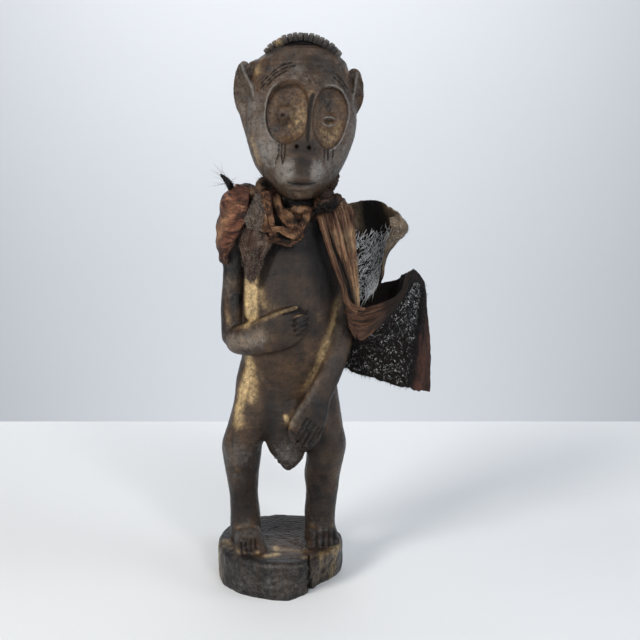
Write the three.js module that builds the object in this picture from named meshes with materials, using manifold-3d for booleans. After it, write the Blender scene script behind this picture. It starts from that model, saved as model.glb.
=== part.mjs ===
// A standing wooden figure with a monkey's face, carved from one log together with its round base,
// and the old animal hide that is knotted round its neck. Millimetres, +Z up, the figure faces -Y.
// The origin is the middle of the base's underside. Left and right are as seen from the front.
import * as THREE from "three";
import { mergeVertices } from "three/addons/utils/BufferGeometryUtils.js";
import Module from "manifold-3d";

const wasm = await Module();
wasm.setup();

// Driving dimensions
const HEIGHT = 450;
const BASE_RADIUS = 54;
const BASE_HEIGHT = 31;
const HIDE_THICKNESS = 2.4;
const CLEARANCE = 0.5;

// Levels of the carving, from the floor up
const ANKLE = 52;
const KNEE = 109;
const GROIN = 138;
const WAIST = 190;
const BELLY = 226;
const SHOULDER = 297;
const CHIN = 317;
const EYES = 385;
const BROW = 413;

// The head leans to the right of the base's middle
const HEAD_X = 18;
const NECK_X = 15;

// Solids and their joins

// Makes a closed three.js geometry a solid, with its faces turned outwards.
function solidOf(geometry) {
  const bare = geometry.index ? geometry.toNonIndexed() : geometry.clone();
  bare.deleteAttribute("normal");
  bare.deleteAttribute("uv");
  const merged = mergeVertices(bare, 1e-3);
  const corners = merged.attributes.position;
  const triangles = [];
  const points = [0, 1, 2].map(() => new THREE.Vector3());
  let volume = 0;
  for (let i = 0; i < merged.index.count; i += 3) {
    const face = [0, 1, 2].map((k) => merged.index.getX(i + k));
    if (new Set(face).size < 3) continue;
    face.forEach((vertex, k) => points[k].fromBufferAttribute(corners, vertex));
    volume += points[0].dot(points[1].clone().cross(points[2]));
    triangles.push(...face);
  }
  if (volume < 0) triangles.reverse();
  return new wasm.Manifold(
    new wasm.Mesh({
      numProp: 3,
      vertProperties: new Float32Array(corners.array),
      triVerts: new Uint32Array(triangles),
    }),
  );
}

// The named mesh of a finished solid.
function meshOf(solid, name, material) {
  const made = solid.getMesh();
  const geometry = new THREE.BufferGeometry();
  geometry.setAttribute("position", new THREE.BufferAttribute(made.vertProperties, 3));
  geometry.setIndex(new THREE.BufferAttribute(made.triVerts, 1));
  geometry.computeVertexNormals();
  const mesh = new THREE.Mesh(geometry, material);
  mesh.name = name;
  return mesh;
}

const joined = (solids) => solids.reduce((whole, next) => whole.add(next));

// The largest of the bodies that a cut leaves.
const mainBody = (solid) => solid.decompose().reduce((best, body) => (body.volume() > best.volume() ? body : best));

// Moves every vertex of a geometry to where place(x, y, z) puts it.
function reshape(geometry, place) {
  const corners = geometry.attributes.position;
  for (let i = 0; i < corners.count; i++) {
    const moved = place(corners.getX(i), corners.getY(i), corners.getZ(i));
    corners.setXYZ(i, moved.x, moved.y, moved.z);
  }
  return geometry;
}

// A smooth curve through rows of three numbers.
const curveOf = (rows) =>
  new THREE.CatmullRomCurve3(rows.map((row) => new THREE.Vector3(...row)), false, "centripetal");

// How full a body is at a share of its length: 1, and rounded off over cap at both ends.
function rounding(share, cap) {
  const end = Math.min(share, 1 - share);
  return end >= cap ? 1 : Math.sqrt(1 - (1 - end / cap) ** 2);
}

// The share of a sphere's height, from pole to pole, that a vertex at height y stands for.
const shareOf = (y) => Math.acos(THREE.MathUtils.clamp(y, -1, 1)) / Math.PI;

// Sections lie level, one above the other, and each is an oval. wide is its half width,
// front and back are its half depths towards -Y and +Y. snout pushes the front forward over the
// half width spread around x = ridge.
function levelBody(sections, { around = 20, rings = 14, square = 1, cap = 0.12, grow = 0 } = {}) {
  const middles = curveOf(sections.map((s) => [s.x, s.y ?? 0, s.z]));
  const halves = curveOf(sections.map((s) => [s.wide, s.front, s.back]));
  const snouts = curveOf(sections.map((s) => [s.snout ?? 0, s.ridge ?? s.x, s.spread ?? 10]));
  return solidOf(
    reshape(new THREE.SphereGeometry(1, around, rings), (x, y, z) => {
      const share = shareOf(y);
      const radius = Math.hypot(x, z);
      const place = middles.getPoint(share);
      if (radius < 1e-6) return place;
      const half = halves.getPoint(share);
      const snout = snouts.getPoint(share);
      const full = rounding(share, cap);
      const across = Math.sign(x) * Math.abs(x / radius) ** square;
      const inward = Math.sign(z) * Math.abs(z / radius) ** square;
      place.x += across * (half.x + grow) * full;
      place.y += inward * ((inward < 0 ? half.y : half.z) + grow) * full;
      if (inward < 0) {
        place.y -= snout.x * full * Math.exp(-(((place.x - snout.y) / snout.z) ** 4)) * Math.min(1, -inward * 1.6);
      }
      return place;
    }),
  );
}

// A limb: ovals strung at right angles to a path. wide is the half size along the side
// direction, thick the half size across it.
function limb(sections, { around = 12, rings = 12, side = [0, 0, 1], cap = 0.14, grow = 0 } = {}) {
  const path = curveOf(sections.map((s) => s.at));
  const halves = curveOf(sections.map((s) => [s.wide, s.thick, 0]));
  const reference = new THREE.Vector3(...side);
  return solidOf(
    reshape(new THREE.SphereGeometry(1, around, rings), (x, y, z) => {
      const share = shareOf(y);
      const radius = Math.hypot(x, z);
      const place = path.getPoint(share);
      if (radius < 1e-6) return place;
      const half = halves.getPoint(share);
      const tangent = path.getTangent(THREE.MathUtils.clamp(share, 0.001, 0.999));
      const first = reference.clone().addScaledVector(tangent, -reference.dot(tangent)).normalize();
      const second = tangent.clone().cross(first);
      const full = rounding(share, cap);
      return place
        .addScaledVector(first, (x / radius) * (half.x + grow) * full)
        .addScaledVector(second, (z / radius) * (half.y + grow) * full);
    }),
  );
}

// An ellipsoid with half sizes along X, Y and Z, turned by three angles in degrees.
function egg(at, halves, turn = [0, 0, 0], { around = 14, rings = 8, grow = 0 } = {}) {
  const geometry = new THREE.SphereGeometry(1, around, rings);
  geometry.rotateX(Math.PI / 2);
  geometry.scale(...halves.map((half) => half + grow));
  const angles = turn.map((degrees) => THREE.MathUtils.degToRad(degrees));
  geometry.applyMatrix4(new THREE.Matrix4().makeRotationFromEuler(new THREE.Euler(...angles, "ZYX")));
  geometry.translate(...at);
  return solidOf(geometry);
}

// A wedge that cuts a groove from one point to another, open along the outward direction.
function grooveCutter(from, to, outward, width, depth) {
  const start = new THREE.Vector3(...from);
  const run = new THREE.Vector3(...to).sub(start);
  const profile = new THREE.Shape([
    new THREE.Vector2(-width, depth),
    new THREE.Vector2(0, -depth),
    new THREE.Vector2(width, depth),
  ]);
  const geometry = new THREE.ExtrudeGeometry(profile, { depth: run.length(), bevelEnabled: false });
  const forward = run.clone().normalize();
  const across = new THREE.Vector3(...outward).cross(forward).normalize();
  geometry.applyMatrix4(new THREE.Matrix4().makeBasis(across, forward.clone().cross(across), forward));
  geometry.translate(...from);
  return solidOf(geometry);
}

// A piece of hide: a sheet of even thickness over a net of ribs. Each rib runs down the hide
// and all have as many points; the first rib is one side edge and the last the other.
function hideSheet(ribs, { across = 10, down = 12, thickness = HIDE_THICKNESS } = {}) {
  const lengthwise = ribs.map(curveOf);
  const surface = (u, v) => {
    const row = curveOf(lengthwise.map((rib) => rib.getPoint(v).toArray()));
    return row.getPoint(u);
  };
  const nudge = 0.004;
  return solidOf(
    reshape(new THREE.BoxGeometry(1, 1, 1, across, down, 1), (x, y, z) => {
      const u = x + 0.5;
      const v = 0.5 - y;
      const alongU = surface(Math.min(u + nudge, 1), v).sub(surface(Math.max(u - nudge, 0), v));
      const alongV = surface(u, Math.min(v + nudge, 1)).sub(surface(u, Math.max(v - nudge, 0)));
      const normal = alongU.cross(alongV).normalize();
      return surface(u, v).addScaledVector(normal, z * thickness);
    }),
  );
}

// The base: the end of the log, with its lower right edge split away and one drying crack

function baseSolid() {
  const rows = [
    { z: 0, size: 0.985 },
    { z: 2.5, size: 1 },
    { z: BASE_HEIGHT - 3, size: 1 },
    { z: BASE_HEIGHT, size: 0.955 },
  ];
  const splitDirection = THREE.MathUtils.degToRad(-38);
  const splitSpread = THREE.MathUtils.degToRad(42);
  const splitLoss = 0.24;
  const geometry = new THREE.CylinderGeometry(1, 1, rows.length - 1, 32, rows.length - 1);
  reshape(geometry, (x, y, z) => {
    const row = rows[Math.round(y + (rows.length - 1) / 2)];
    const angle = Math.atan2(-z, x);
    const lobes = 0.025 * Math.sin(angle) + 0.03 * Math.cos(2 * angle + 2.6) + 0.012 * Math.cos(5 * angle);
    const nearSplit = Math.max(0, 1 - Math.abs(angle - splitDirection) / splitSpread);
    const undercut = 1 - splitLoss * nearSplit ** 0.7 * (1 - row.z / BASE_HEIGHT);
    const size = Math.hypot(x, z) * BASE_RADIUS * (1 + lobes) * row.size * undercut;
    return new THREE.Vector3(size * Math.cos(angle), size * Math.sin(angle) + 2, row.z);
  });
  const crack = grooveCutter([25.2, -46, -2], [24.2, -50, BASE_HEIGHT + 4], [0.25, -1, 0], 1.8, 6);
  return solidOf(geometry).subtract(crack);
}

// Legs and feet

function legSolid({ hip, thigh, knee, calf, ankle }) {
  return levelBody(
    [
      { z: 206, x: hip + 0.2 * (11 - hip), y: 2, wide: 15, front: 16, back: 16 },
      { z: 176, x: hip, y: 2, wide: 18.5, front: 21, back: 23 },
      { z: 156, x: hip, y: 1, wide: 21, front: 24, back: 26 },
      { z: GROIN - 4, x: thigh, y: -2, wide: 19.5, front: 23, back: 21 },
      { z: KNEE + 9, x: knee + 0.6, y: -4, wide: 17, front: 20, back: 15 },
      { z: KNEE - 3, x: knee, y: -3, wide: 15.8, front: 18, back: 15 },
      { z: 90, x: calf, y: 0, wide: 13.6, front: 14, back: 18 },
      { z: 72, x: calf + 0.5, y: 2, wide: 12, front: 12, back: 17 },
      { z: ANKLE + 4, x: ankle, y: 3, wide: 12, front: 12, back: 14 },
      { z: ANKLE - 8, x: ankle, y: 3, wide: 12.6, front: 13, back: 15 },
      { z: BASE_HEIGHT - 5, x: ankle, y: 2, wide: 13, front: 14, back: 16 },
    ],
    { around: 12, rings: 14, cap: 0.05 },
  );
}

// A foot from heel to toes, with four cuts between its toes.
function footSolid(heel, toes, toeRow) {
  const start = new THREE.Vector3(...heel);
  const end = new THREE.Vector3(...toes);
  const sections = [
    { share: 0, z: 34, wide: 15, thick: 11 },
    { share: 0.3, z: 34, wide: 17, thick: 12 },
    { share: 0.6, z: 33, wide: 14, thick: 12.5 },
    { share: 0.85, z: 32, wide: 9, thick: 12.5 },
    { share: 1, z: 31, wide: 6, thick: 12 },
  ].map(({ share, z, wide, thick }) => ({ at: start.clone().lerp(end, share).setZ(z).toArray(), wide, thick }));
  const row = new THREE.Vector3(...toeRow).normalize();
  const forward = end.clone().sub(start).setZ(0).normalize();
  const toeWidth = 4.9;
  const toeLength = 13;
  const cuts = [-1.5, -0.5, 0.5, 1.5].map((step) => {
    const tip = end.clone().addScaledVector(row, step * toeWidth).addScaledVector(forward, 2);
    const root = tip.clone().addScaledVector(forward, -toeLength);
    return grooveCutter([root.x, root.y, 43.5], [tip.x, tip.y, 35], [forward.x * 0.6, forward.y * 0.6, 0.8], 1.2, 2.4);
  });
  const body = limb(sections, { around: 12, rings: 8, cap: 0.1 });
  return cuts.reduce((foot, cut) => foot.subtract(cut), body);
}

// Trunk, buttocks, neck and loins. grow makes each one larger, to keep the hide clear of it

function trunkSolid(grow = 0) {
  return levelBody(
    [
      { z: SHOULDER + 17, x: NECK_X, y: 2, wide: 19, front: 15, back: 15 },
      { z: SHOULDER + 7, x: 13, y: 1, wide: 34, front: 19, back: 19 },
      { z: SHOULDER - 6, x: 12, wide: 38, front: 24, back: 23 },
      { z: 272, x: 11.5, wide: 40, front: 29, back: 26 },
      { z: 250, x: 11, wide: 40, front: 33, back: 26 },
      { z: BELLY, x: 10, wide: 40.5, front: 36, back: 25 },
      { z: WAIST + 12, x: 8.5, wide: 39.5, front: 34, back: 24 },
      { z: WAIST - 8, x: 6.5, wide: 38.5, front: 29, back: 26 },
      { z: 162, x: 5, wide: 38, front: 25, back: 29 },
      { z: GROIN, x: 4.5, wide: 31, front: 20, back: 27 },
      { z: 122, x: 4.5, wide: 18, front: 12, back: 18 },
    ],
    { around: 20, rings: 12, cap: 0.07, grow },
  );
}

const buttockSolids = () => [-11, 22].map((x) => egg([x, 17, 155], [18, 17, 22], [0, 0, 0], { around: 10, rings: 6 }));

function neckSolid(grow = 0) {
  return levelBody(
    [
      { z: SHOULDER, x: NECK_X, y: 2, wide: 20, front: 16, back: 17 },
      { z: CHIN - 2, x: NECK_X + 0.5, y: 2, wide: 17.5, front: 15, back: 16 },
      { z: CHIN + 14, x: NECK_X + 1.5, y: 2, wide: 18, front: 16, back: 17 },
      { z: CHIN + 34, x: NECK_X + 2, y: 2, wide: 18, front: 15, back: 17 },
    ],
    { around: 12, rings: 6, grow },
  );
}

// The loins are a broad wedge between the thighs that ends in a blunt stub.
function loinsSolid() {
  const wedge = levelBody(
    [
      { z: 180, x: 5, y: -5, wide: 26, front: 15, back: 16 },
      { z: 146, x: 5, y: -8, wide: 24, front: 19, back: 18 },
      { z: 128, x: 5.5, y: -8, wide: 20, front: 18, back: 18 },
      { z: 114, x: 6.5, y: -9, wide: 15.5, front: 16, back: 15 },
      { z: 106, x: 8, y: -11, wide: 10, front: 12, back: 11 },
      { z: 100, x: 8.5, y: -13, wide: 4.5, front: 7, back: 8 },
    ],
    { around: 12, rings: 9, square: 0.9, cap: 0.06 },
  );
  return wedge.add(egg([8, -15, 102.5], [5, 7, 4.5], [0, 0, 0], { around: 8, rings: 5 }));
}

// Arms and hands

function leftArmSolid(grow = 0) {
  const upper = limb(
    [
      { at: [-21, 3, 311], wide: 12, thick: 10 },
      { at: [-29, 3, 300], wide: 14, thick: 11 },
      { at: [-34.5, 2, 283], wide: 15, thick: 11 },
      { at: [-35.5, 0, 261], wide: 15, thick: 10 },
      { at: [-37, -1, 238], wide: 14, thick: 10.5 },
      { at: [-36, -4, 215], wide: 13, thick: 10.5 },
      { at: [-34, -6, 199], wide: 11, thick: 9 },
    ],
    { side: [0, 1, 0], around: 12, rings: 10, cap: 0.1, grow },
  );
  const fore = limb(
    [
      { at: [-38, -5, 208], wide: 9.5, thick: 9 },
      { at: [-28, -17, 208], wide: 12, thick: 10 },
      { at: [-12, -28.5, 212.5], wide: 14.5, thick: 9.5 },
      { at: [4, -35, 220], wide: 17, thick: 8 },
      { at: [15, -37.5, 226], wide: 14, thick: 6.5 },
      { at: [24.5, -38, 231], wide: 9, thick: 4.5 },
    ],
    { around: 12, rings: 12, cap: 0.12, grow },
  );
  return upper.add(fore);
}

function rightArmSolid(grow = 0) {
  const upper = limb(
    [
      { at: [40, 3, 309], wide: 12, thick: 10 },
      { at: [46, 3, 298], wide: 14, thick: 10.5 },
      { at: [50.5, 2, 280], wide: 15, thick: 10 },
      { at: [51, 1, 258], wide: 14, thick: 9.5 },
      { at: [51, -1, 236], wide: 13, thick: 9.3 },
      { at: [50.5, -3, 216], wide: 12, thick: 9 },
    ],
    { side: [0, 1, 0], around: 12, rings: 9, cap: 0.1, grow },
  );
  const fore = limb(
    [
      { at: [51, 0, 230], wide: 9, thick: 11 },
      { at: [50, -9, 208], wide: 9.8, thick: 10 },
      { at: [43, -21, 186], wide: 9.5, thick: 9 },
      { at: [33, -29, 165], wide: 10, thick: 8.5 },
      { at: [25.5, -33, 147], wide: 13.5, thick: 7.5 },
      { at: [20.5, -33.5, 134], wide: 13.5, thick: 6.5 },
      { at: [15.5, -32, 118.5], wide: 8, thick: 4.5 },
    ],
    { side: [0.9, 0, -0.42], around: 12, rings: 13, cap: 0.12, grow },
  );
  return upper.add(fore);
}

// The three cuts that part the fingers of a hand, from the middle fingertips back to the wrist.
function fingerCuts(tips, spacing, towardsWrist, length) {
  const step = new THREE.Vector3(...spacing);
  const back = new THREE.Vector3(...towardsWrist).normalize();
  return [-1, 0, 1].map((finger) => {
    const tip = new THREE.Vector3(...tips).addScaledVector(step, finger);
    const root = tip.clone().addScaledVector(back, length);
    return grooveCutter(root.toArray(), tip.toArray(), [0, -1, 0], 1.1, 1.7);
  });
}

// Head

// Brow, cheeks and jaw narrow down to the chin, and the snout stands forward around the nose.
function skullSolid(grow = 0) {
  return levelBody(
    [
      { z: HEIGHT - 5, x: HEAD_X, y: 4, wide: 15, front: 10, back: 13 },
      { z: HEIGHT - 12, x: HEAD_X, y: 2, wide: 28.5, front: 19, back: 25 },
      { z: HEIGHT - 23, x: HEAD_X, wide: 36.5, front: 26, back: 34 },
      { z: BROW, x: HEAD_X, wide: 40, front: 31.5, back: 39, snout: 1, ridge: HEAD_X + 8, spread: 20 },
      { z: BROW - 14, x: HEAD_X, wide: 41.5, front: 33.5, back: 42, snout: 2.5, ridge: HEAD_X + 9, spread: 13 },
      { z: EYES, x: HEAD_X, wide: 43, front: 34, back: 42, snout: 3, ridge: HEAD_X + 8, spread: 11 },
      { z: EYES - 14, x: HEAD_X - 0.5, wide: 42, front: 34, back: 38, snout: 4, ridge: HEAD_X + 6, spread: 13 },
      { z: EYES - 26, x: HEAD_X - 1, wide: 38.5, front: 33.5, back: 32, snout: 6, ridge: HEAD_X + 3, spread: 18 },
      { z: EYES - 38, x: HEAD_X - 1, wide: 33.5, front: 32, back: 26, snout: 9, ridge: HEAD_X + 2, spread: 21 },
      { z: EYES - 50, x: HEAD_X, wide: 26.5, front: 30, back: 20, snout: 11, ridge: HEAD_X + 1, spread: 21 },
      { z: EYES - 60, x: HEAD_X, wide: 18, front: 26, back: 12, snout: 9, ridge: HEAD_X, spread: 17 },
      { z: CHIN, x: HEAD_X, y: -6, wide: 9, front: 18, back: 9, snout: 4, ridge: HEAD_X, spread: 12 },
    ],
    { around: 24, rings: 17, square: 0.93, cap: 0.05, grow },
  );
}

// An ear is a cupped shell that stands out from the side of the head and opens to the front.
function earSolid(at, halves, turn) {
  const outward = Math.sign(at[0] - HEAD_X);
  const hollow = egg(
    [at[0] + outward * 1.2, at[1] - halves[1] * 0.8, at[2] - 2],
    [halves[0] * 0.72, halves[1] * 1.05, halves[2] * 0.84],
    turn,
    { around: 9, rings: 6 },
  );
  return egg(at, halves, turn, { around: 11, rings: 7 }).subtract(hollow);
}

// The crest: a band over the crown from ear to ear, cut into a row of studs.
function crestSolids() {
  const studs = 13;
  const radius = 40.3;
  const centre = new THREE.Vector3(16.8, 8, HEIGHT - radius);
  const start = THREE.MathUtils.degToRad(-43);
  const end = THREE.MathUtils.degToRad(52);
  const placed = (geometry, angle) => {
    geometry.translate(0, 0, radius);
    geometry.rotateY(angle);
    geometry.translate(...centre.toArray());
    return solidOf(geometry);
  };
  const solids = [];
  for (let i = 0; i < studs; i++) {
    const stud = new THREE.CylinderGeometry(1.5, 2.3, 9, 4);
    stud.rotateY(Math.PI / 4);
    stud.rotateX(Math.PI / 2);
    stud.scale(1, 2.6, 1);
    stud.translate(0, 0, -4.5);
    solids.push(placed(stud, THREE.MathUtils.lerp(start, end, i / (studs - 1))));
  }
  const bandRadius = radius - 7;
  const bandPath = [0, 0.25, 0.5, 0.75, 1].map((share) => {
    const angle = THREE.MathUtils.lerp(start - 0.02, end + 0.02, share);
    return {
      at: [centre.x + bandRadius * Math.sin(angle), centre.y, centre.z + bandRadius * Math.cos(angle)],
      wide: 6,
      thick: 4.6,
    };
  });
  solids.push(limb(bandPath, { side: [0, 1, 0], around: 6, rings: 8, cap: 0.05 }));
  return solids;
}

// The wide oval sockets of the eyes, the slit of the mouth and the two nostrils.
function faceCutters() {
  return [
    egg([HEAD_X - 11.5, -41.5, EYES + 3.5], [24.5, 15, 31.5], [0, 0, -14], { around: 20, rings: 12 }),
    egg([HEAD_X + 28, -38, EYES - 3], [22, 15, 32], [0, 0, 24], { around: 20, rings: 12 }),
    egg([HEAD_X + 0.7, -42, 332], [11.5, 6, 1.4], [0, 0, 0], { around: 10, rings: 6 }),
    ...[16.2, 25.2].map((x) => egg([x, -41, 360.5], [1.4, 6, 1.4], [0, 0, 0], { around: 6, rings: 4 })),
  ];
}

// The left eye is a low knob and the right one a lozenge with a slit.
function eyeSolids() {
  return [
    egg([HEAD_X - 12, -26.5, EYES + 1], [7.5, 2.4, 7], [0, 0, -14], { around: 10, rings: 5 }),
    egg([HEAD_X + 22.5, -25.5, EYES - 6], [5.5, 2.6, 4], [0, 0, 24], { around: 10, rings: 5 }),
  ];
}

const headSolid = () => faceCutters().reduce((whole, cut) => whole.subtract(cut), skullSolid());

function figureSolid() {
  const body = joined([
    baseSolid(),
    legSolid({ hip: -17, thigh: -24, knee: -32, calf: -32.3, ankle: -31 }),
    legSolid({ hip: 28, thigh: 33, knee: 37.5, calf: 35, ankle: 33 }),
    footSolid([-33, 17, 34], [-23, -31, 31], [17, 12, 0]),
    footSolid([33, 22, 34], [37, -17, 31], [1, 0, 0]),
    trunkSolid(),
    ...buttockSolids(),
    neckSolid(),
    loinsSolid(),
    leftArmSolid(),
    rightArmSolid(),
    headSolid(),
    earSolid([-26.5, 4, 407], [8.5, 9, 21.5], [0, 8, 0]),
    earSolid([60, 6, 403], [8, 8, 20.5], [0, -8, 0]),
    ...crestSolids(),
    ...eyeSolids(),
  ]);
  const cuts = [
    ...fingerCuts([25, -43, 229], [1.5, 0, -5.5], [-1, 0.05, -0.55], 17),
    ...fingerCuts([15, -37, 121], [5, 0, -1], [0.5, -0.05, 0.86], 20),
  ];
  return cuts.reduce((whole, cut) => whole.subtract(cut), body);
}

// The hide

// The strap rises behind the shoulder, comes over it and narrows to the hip.
function strapSheet() {
  return hideSheet(
    [
      [[27, 26, 300], [29, 18, 320], [27.5, -8, 321], [30, -22, 310], [36, -30, 290], [49, -30, 255], [57, -28, 231]],
      [[40, 28, 296], [41, 20, 323], [43, -7, 323], [46, -20, 310], [50, -26, 286], [57.5, -25, 250], [60.5, -26, 230]],
      [[54, 27, 292], [54, 19, 318], [56.5, -4, 318.5], [60, -12, 308], [61.5, -16, 286], [63, -21, 248], [64, -24, 230]],
    ],
    { across: 4, down: 12, thickness: 2.8 },
  );
}

// The panel hangs from a slung rim that sags from the hip and rises to a peak on the far right.
function panelSheet() {
  return hideSheet(
    [
      [[57, -27, 232], [61.9, -18, 214], [58, -1, 198], [50, 14, 181]],
      [[66, -28, 235.5], [69, -19, 214], [67, -3, 197], [64, 5, 179]],
      [[79.6, -26, 237], [80, -20, 217], [78, -9, 197], [76, -3, 175.5]],
      [[92, -19, 241], [92, -17, 220], [90, -11, 197], [88, -7, 172.5]],
      [[103.5, -9, 254], [103, -12, 228], [102, -10, 197], [101, -8, 168]],
      [[109.5, 2, 265], [112, -3, 236], [113, -4, 200], [113, -4, 165]],
      [[119, 8, 254], [122.5, 3, 226], [124.5, 1, 196], [125.5, 0, 161.5]],
    ],
    { across: 12, down: 6 },
  );
}

// The back wall closes the slung pocket behind, from the peak round to the hip.
function pocketSheet() {
  return hideSheet(
    [
      [[109, 1, 263], [108, 2, 242], [106, 2, 218]],
      [[105, 14, 260], [104, 13, 240], [101, 8, 214]],
      [[98, 24, 252], [97, 22, 235], [94, 12, 212]],
      [[87, 27, 249], [86, 24, 232], [84, 12, 210]],
      [[75, 23, 245], [75, 20, 228], [74, 11, 208]],
      [[63, 18, 242], [64, 15, 224], [65, 9, 208]],
    ],
    { across: 8, down: 4 },
  );
}

// The lobe stands out behind the shoulder and curls forward along its right side.
function lobeSheet() {
  return hideSheet(
    [
      [[46, 23, 314], [50, 26.5, 297], [53, 25, 275], [56, 21, 252], [58, 18, 238]],
      [[66, 16, 318.5], [70, 24, 300], [72, 24, 275], [72, 20, 255], [72, 16, 238]],
      [[78, 12, 319], [86, 20, 300], [84, 20, 278], [80, 17, 258], [79, 14, 243]],
      [[88, 4, 314], [97, 8, 299], [90, 10, 283], [86, 11, 266], [82, 10, 249]],
      [[94, -6, 308], [103, -6, 297.5], [96.5, -4, 287], [87.5, 0, 276], [84.5, 4, 256]],
      [[88, -12, 305], [91, -14, 296], [88, -11, 287], [86, -4, 274], [83.5, 3, 257]],
    ],
    { across: 10, down: 6 },
  );
}

const capeSolid = () => joined([strapSheet(), panelSheet(), pocketSheet(), lobeSheet()]);

// The hide over the left shoulder, from its front edge round to the back.
function shoulderSheet() {
  return hideSheet(
    [
      [[-24.5, -12, 326], [-21.4, -24, 317], [-24.4, -27, 303], [-29.5, -25, 293], [-38.5, -19, 278], [-43, -13, 268]],
      [[-31, -5, 330], [-37, -15, 319], [-41, -18, 303], [-43, -18, 290], [-46, -12, 276], [-47, -6, 267]],
      [[-31, 8, 331], [-43, 4, 322], [-47.5, 2, 307], [-50.5, 2, 291], [-49.5, 3, 276], [-48, 4, 266]],
      [[-27, 20, 328], [-37, 22, 318], [-43, 22, 303], [-45, 22, 288], [-45, 19, 275], [-44, 17, 266]],
      [[-15, 24, 322], [-22, 30, 312], [-26, 32, 300], [-28, 31, 288], [-29, 30, 276], [-30, 29, 266]],
    ],
    { across: 9, down: 7, thickness: 2.6 },
  );
}

// The small furred tongue on the chest: a narrow neck, a waist and a kite-shaped end.
function flapSheet() {
  return hideSheet(
    [
      [[-17.5, -24, 324], [-24.5, -32, 309], [-24, -32.5, 300], [-29, -31, 290], [-26.5, -31, 274], [-20, -32, 257.5]],
      [[-16, -25, 325], [-16.5, -33, 309], [-15.5, -34, 299], [-16, -35, 289], [-17.5, -35, 273], [-18.5, -33, 257]],
      [[-14, -24, 324], [-8, -30, 307], [-6.5, -30, 299], [-3.5, -32, 289.5], [-10.5, -34, 273], [-17, -33, 258.5]],
    ],
    { across: 4, down: 11 },
  );
}

// The ties: a band round the neck, bunched on the left and knotted on the right under the jaw,
// with three twisted strips that loop down across the throat. Each strip is flat, along a path.
const THONGS = [
  { path: [[-9, -13, 321], [-6, -24, 311], [-4, -28, 300], [3, -29.5, 294], [13, -29, 296], [20, -27, 303], [24, -21, 310]], wide: 4 },
  { path: [[-2, -17, 318], [1, -24, 308], [7, -27, 302], [14, -29, 297]], wide: 3 },
  { path: [[-5, -28, 300], [1, -30.5, 291], [10, -31, 289], [18, -29, 296], [21, -27, 303]], wide: 2.2 },
];

function tiesSolid(grow = 0) {
  const ring = new THREE.TorusGeometry(1, 0.12 + grow / 20, 5, 18);
  reshape(ring, (x, y, z) => new THREE.Vector3(NECK_X + 0.5 + 21 * x, 2 + 20 * y, 309.5 + 20 * z - 1.5 * y));
  const lumps = [
    egg([30, -19, 310], [8, 5, 4.5], [0, -20, 0], { around: 8, rings: 6, grow }),
    egg([37, -25, 316], [8, 4.5, 5], [0, -20, 0], { around: 8, rings: 6, grow }),
    egg([-8, -9, 318], [9, 8, 8], [0, 20, 0], { around: 8, rings: 6, grow }),
  ];
  const strips = THONGS.map(({ path, wide }) =>
    limb(
      path.map((at) => ({ at, wide, thick: 1.7 })),
      { side: [0, -0.3, 1], around: 6, rings: 9, cap: 0.06, grow },
    ),
  );
  return joined([solidOf(ring), ...lumps, ...strips]);
}

// What the hide keeps clear of: the wood beneath it, a little larger than it is.
const wearer = joined([
  trunkSolid(CLEARANCE),
  neckSolid(CLEARANCE),
  leftArmSolid(CLEARANCE),
  rightArmSolid(CLEARANCE),
  skullSolid(CLEARANCE),
]);

const wood = new THREE.MeshStandardMaterial({ color: 0x4a3a2a, roughness: 0.5, metalness: 0 });
const hide = new THREE.MeshStandardMaterial({ color: 0x7a5236, roughness: 0.8, metalness: 0 });
const fur = new THREE.MeshStandardMaterial({ color: 0x2b2522, roughness: 0.7, metalness: 0 });

const group = new THREE.Group();
group.add(meshOf(figureSolid(), "carved_figure", wood));
group.add(meshOf(mainBody(tiesSolid().subtract(wearer)), "neck_ties", hide));
const around = wearer.add(tiesSolid(CLEARANCE));
for (const [name, solid, material] of [
  ["hide_cape", capeSolid(), fur],
  ["shoulder_hide", shoulderSheet(), hide],
  ["hanging_flap", flapSheet(), fur],
]) {
  group.add(meshOf(mainBody(solid.subtract(around)), name, material));
}

export default group;
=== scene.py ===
"""A standing wooden figure with a monkey's face, and the old animal hide knotted round its neck.

The figure and its round base are carved from one log. The tables are in millimetres, in the part's
own frame: +Z up, the figure faces -Y, and the origin is the middle of the base's underside. Left
and right are as seen from the front.
"""
import logging
import math
from dataclasses import dataclass, field
from enum import Enum
from typing import Callable

import bmesh
import bpy
import numpy as np
from mathutils import Euler, Matrix, Vector


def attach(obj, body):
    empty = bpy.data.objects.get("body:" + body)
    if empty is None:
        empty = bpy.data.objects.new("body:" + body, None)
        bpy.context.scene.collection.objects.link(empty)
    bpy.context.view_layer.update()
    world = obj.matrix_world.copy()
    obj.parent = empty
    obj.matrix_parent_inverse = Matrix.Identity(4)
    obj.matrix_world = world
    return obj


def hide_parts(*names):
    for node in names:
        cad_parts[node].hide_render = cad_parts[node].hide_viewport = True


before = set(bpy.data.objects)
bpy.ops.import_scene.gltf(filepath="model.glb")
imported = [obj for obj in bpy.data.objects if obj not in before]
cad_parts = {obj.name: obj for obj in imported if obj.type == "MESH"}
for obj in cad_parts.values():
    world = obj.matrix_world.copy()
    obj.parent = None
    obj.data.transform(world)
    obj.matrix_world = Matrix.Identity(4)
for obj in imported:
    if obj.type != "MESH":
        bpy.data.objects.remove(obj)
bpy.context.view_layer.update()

MM = 0.001
HEAD_X = 18.0
NECK_X = 15.0
BASE_Y = 2.0

log = logging.getLogger("figure")


class Slot(Enum):
    """Names for the material slots."""

    WOOD = "wood"
    FUR = "fur_hide"
    BARE = "bare_hide"


class Hold(Enum):
    """How a sheet of hide is held."""

    DRAPED = "draped"
    HUNG = "hung"
    FOLDED = "folded"


# Curves, noise and meshes


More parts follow.
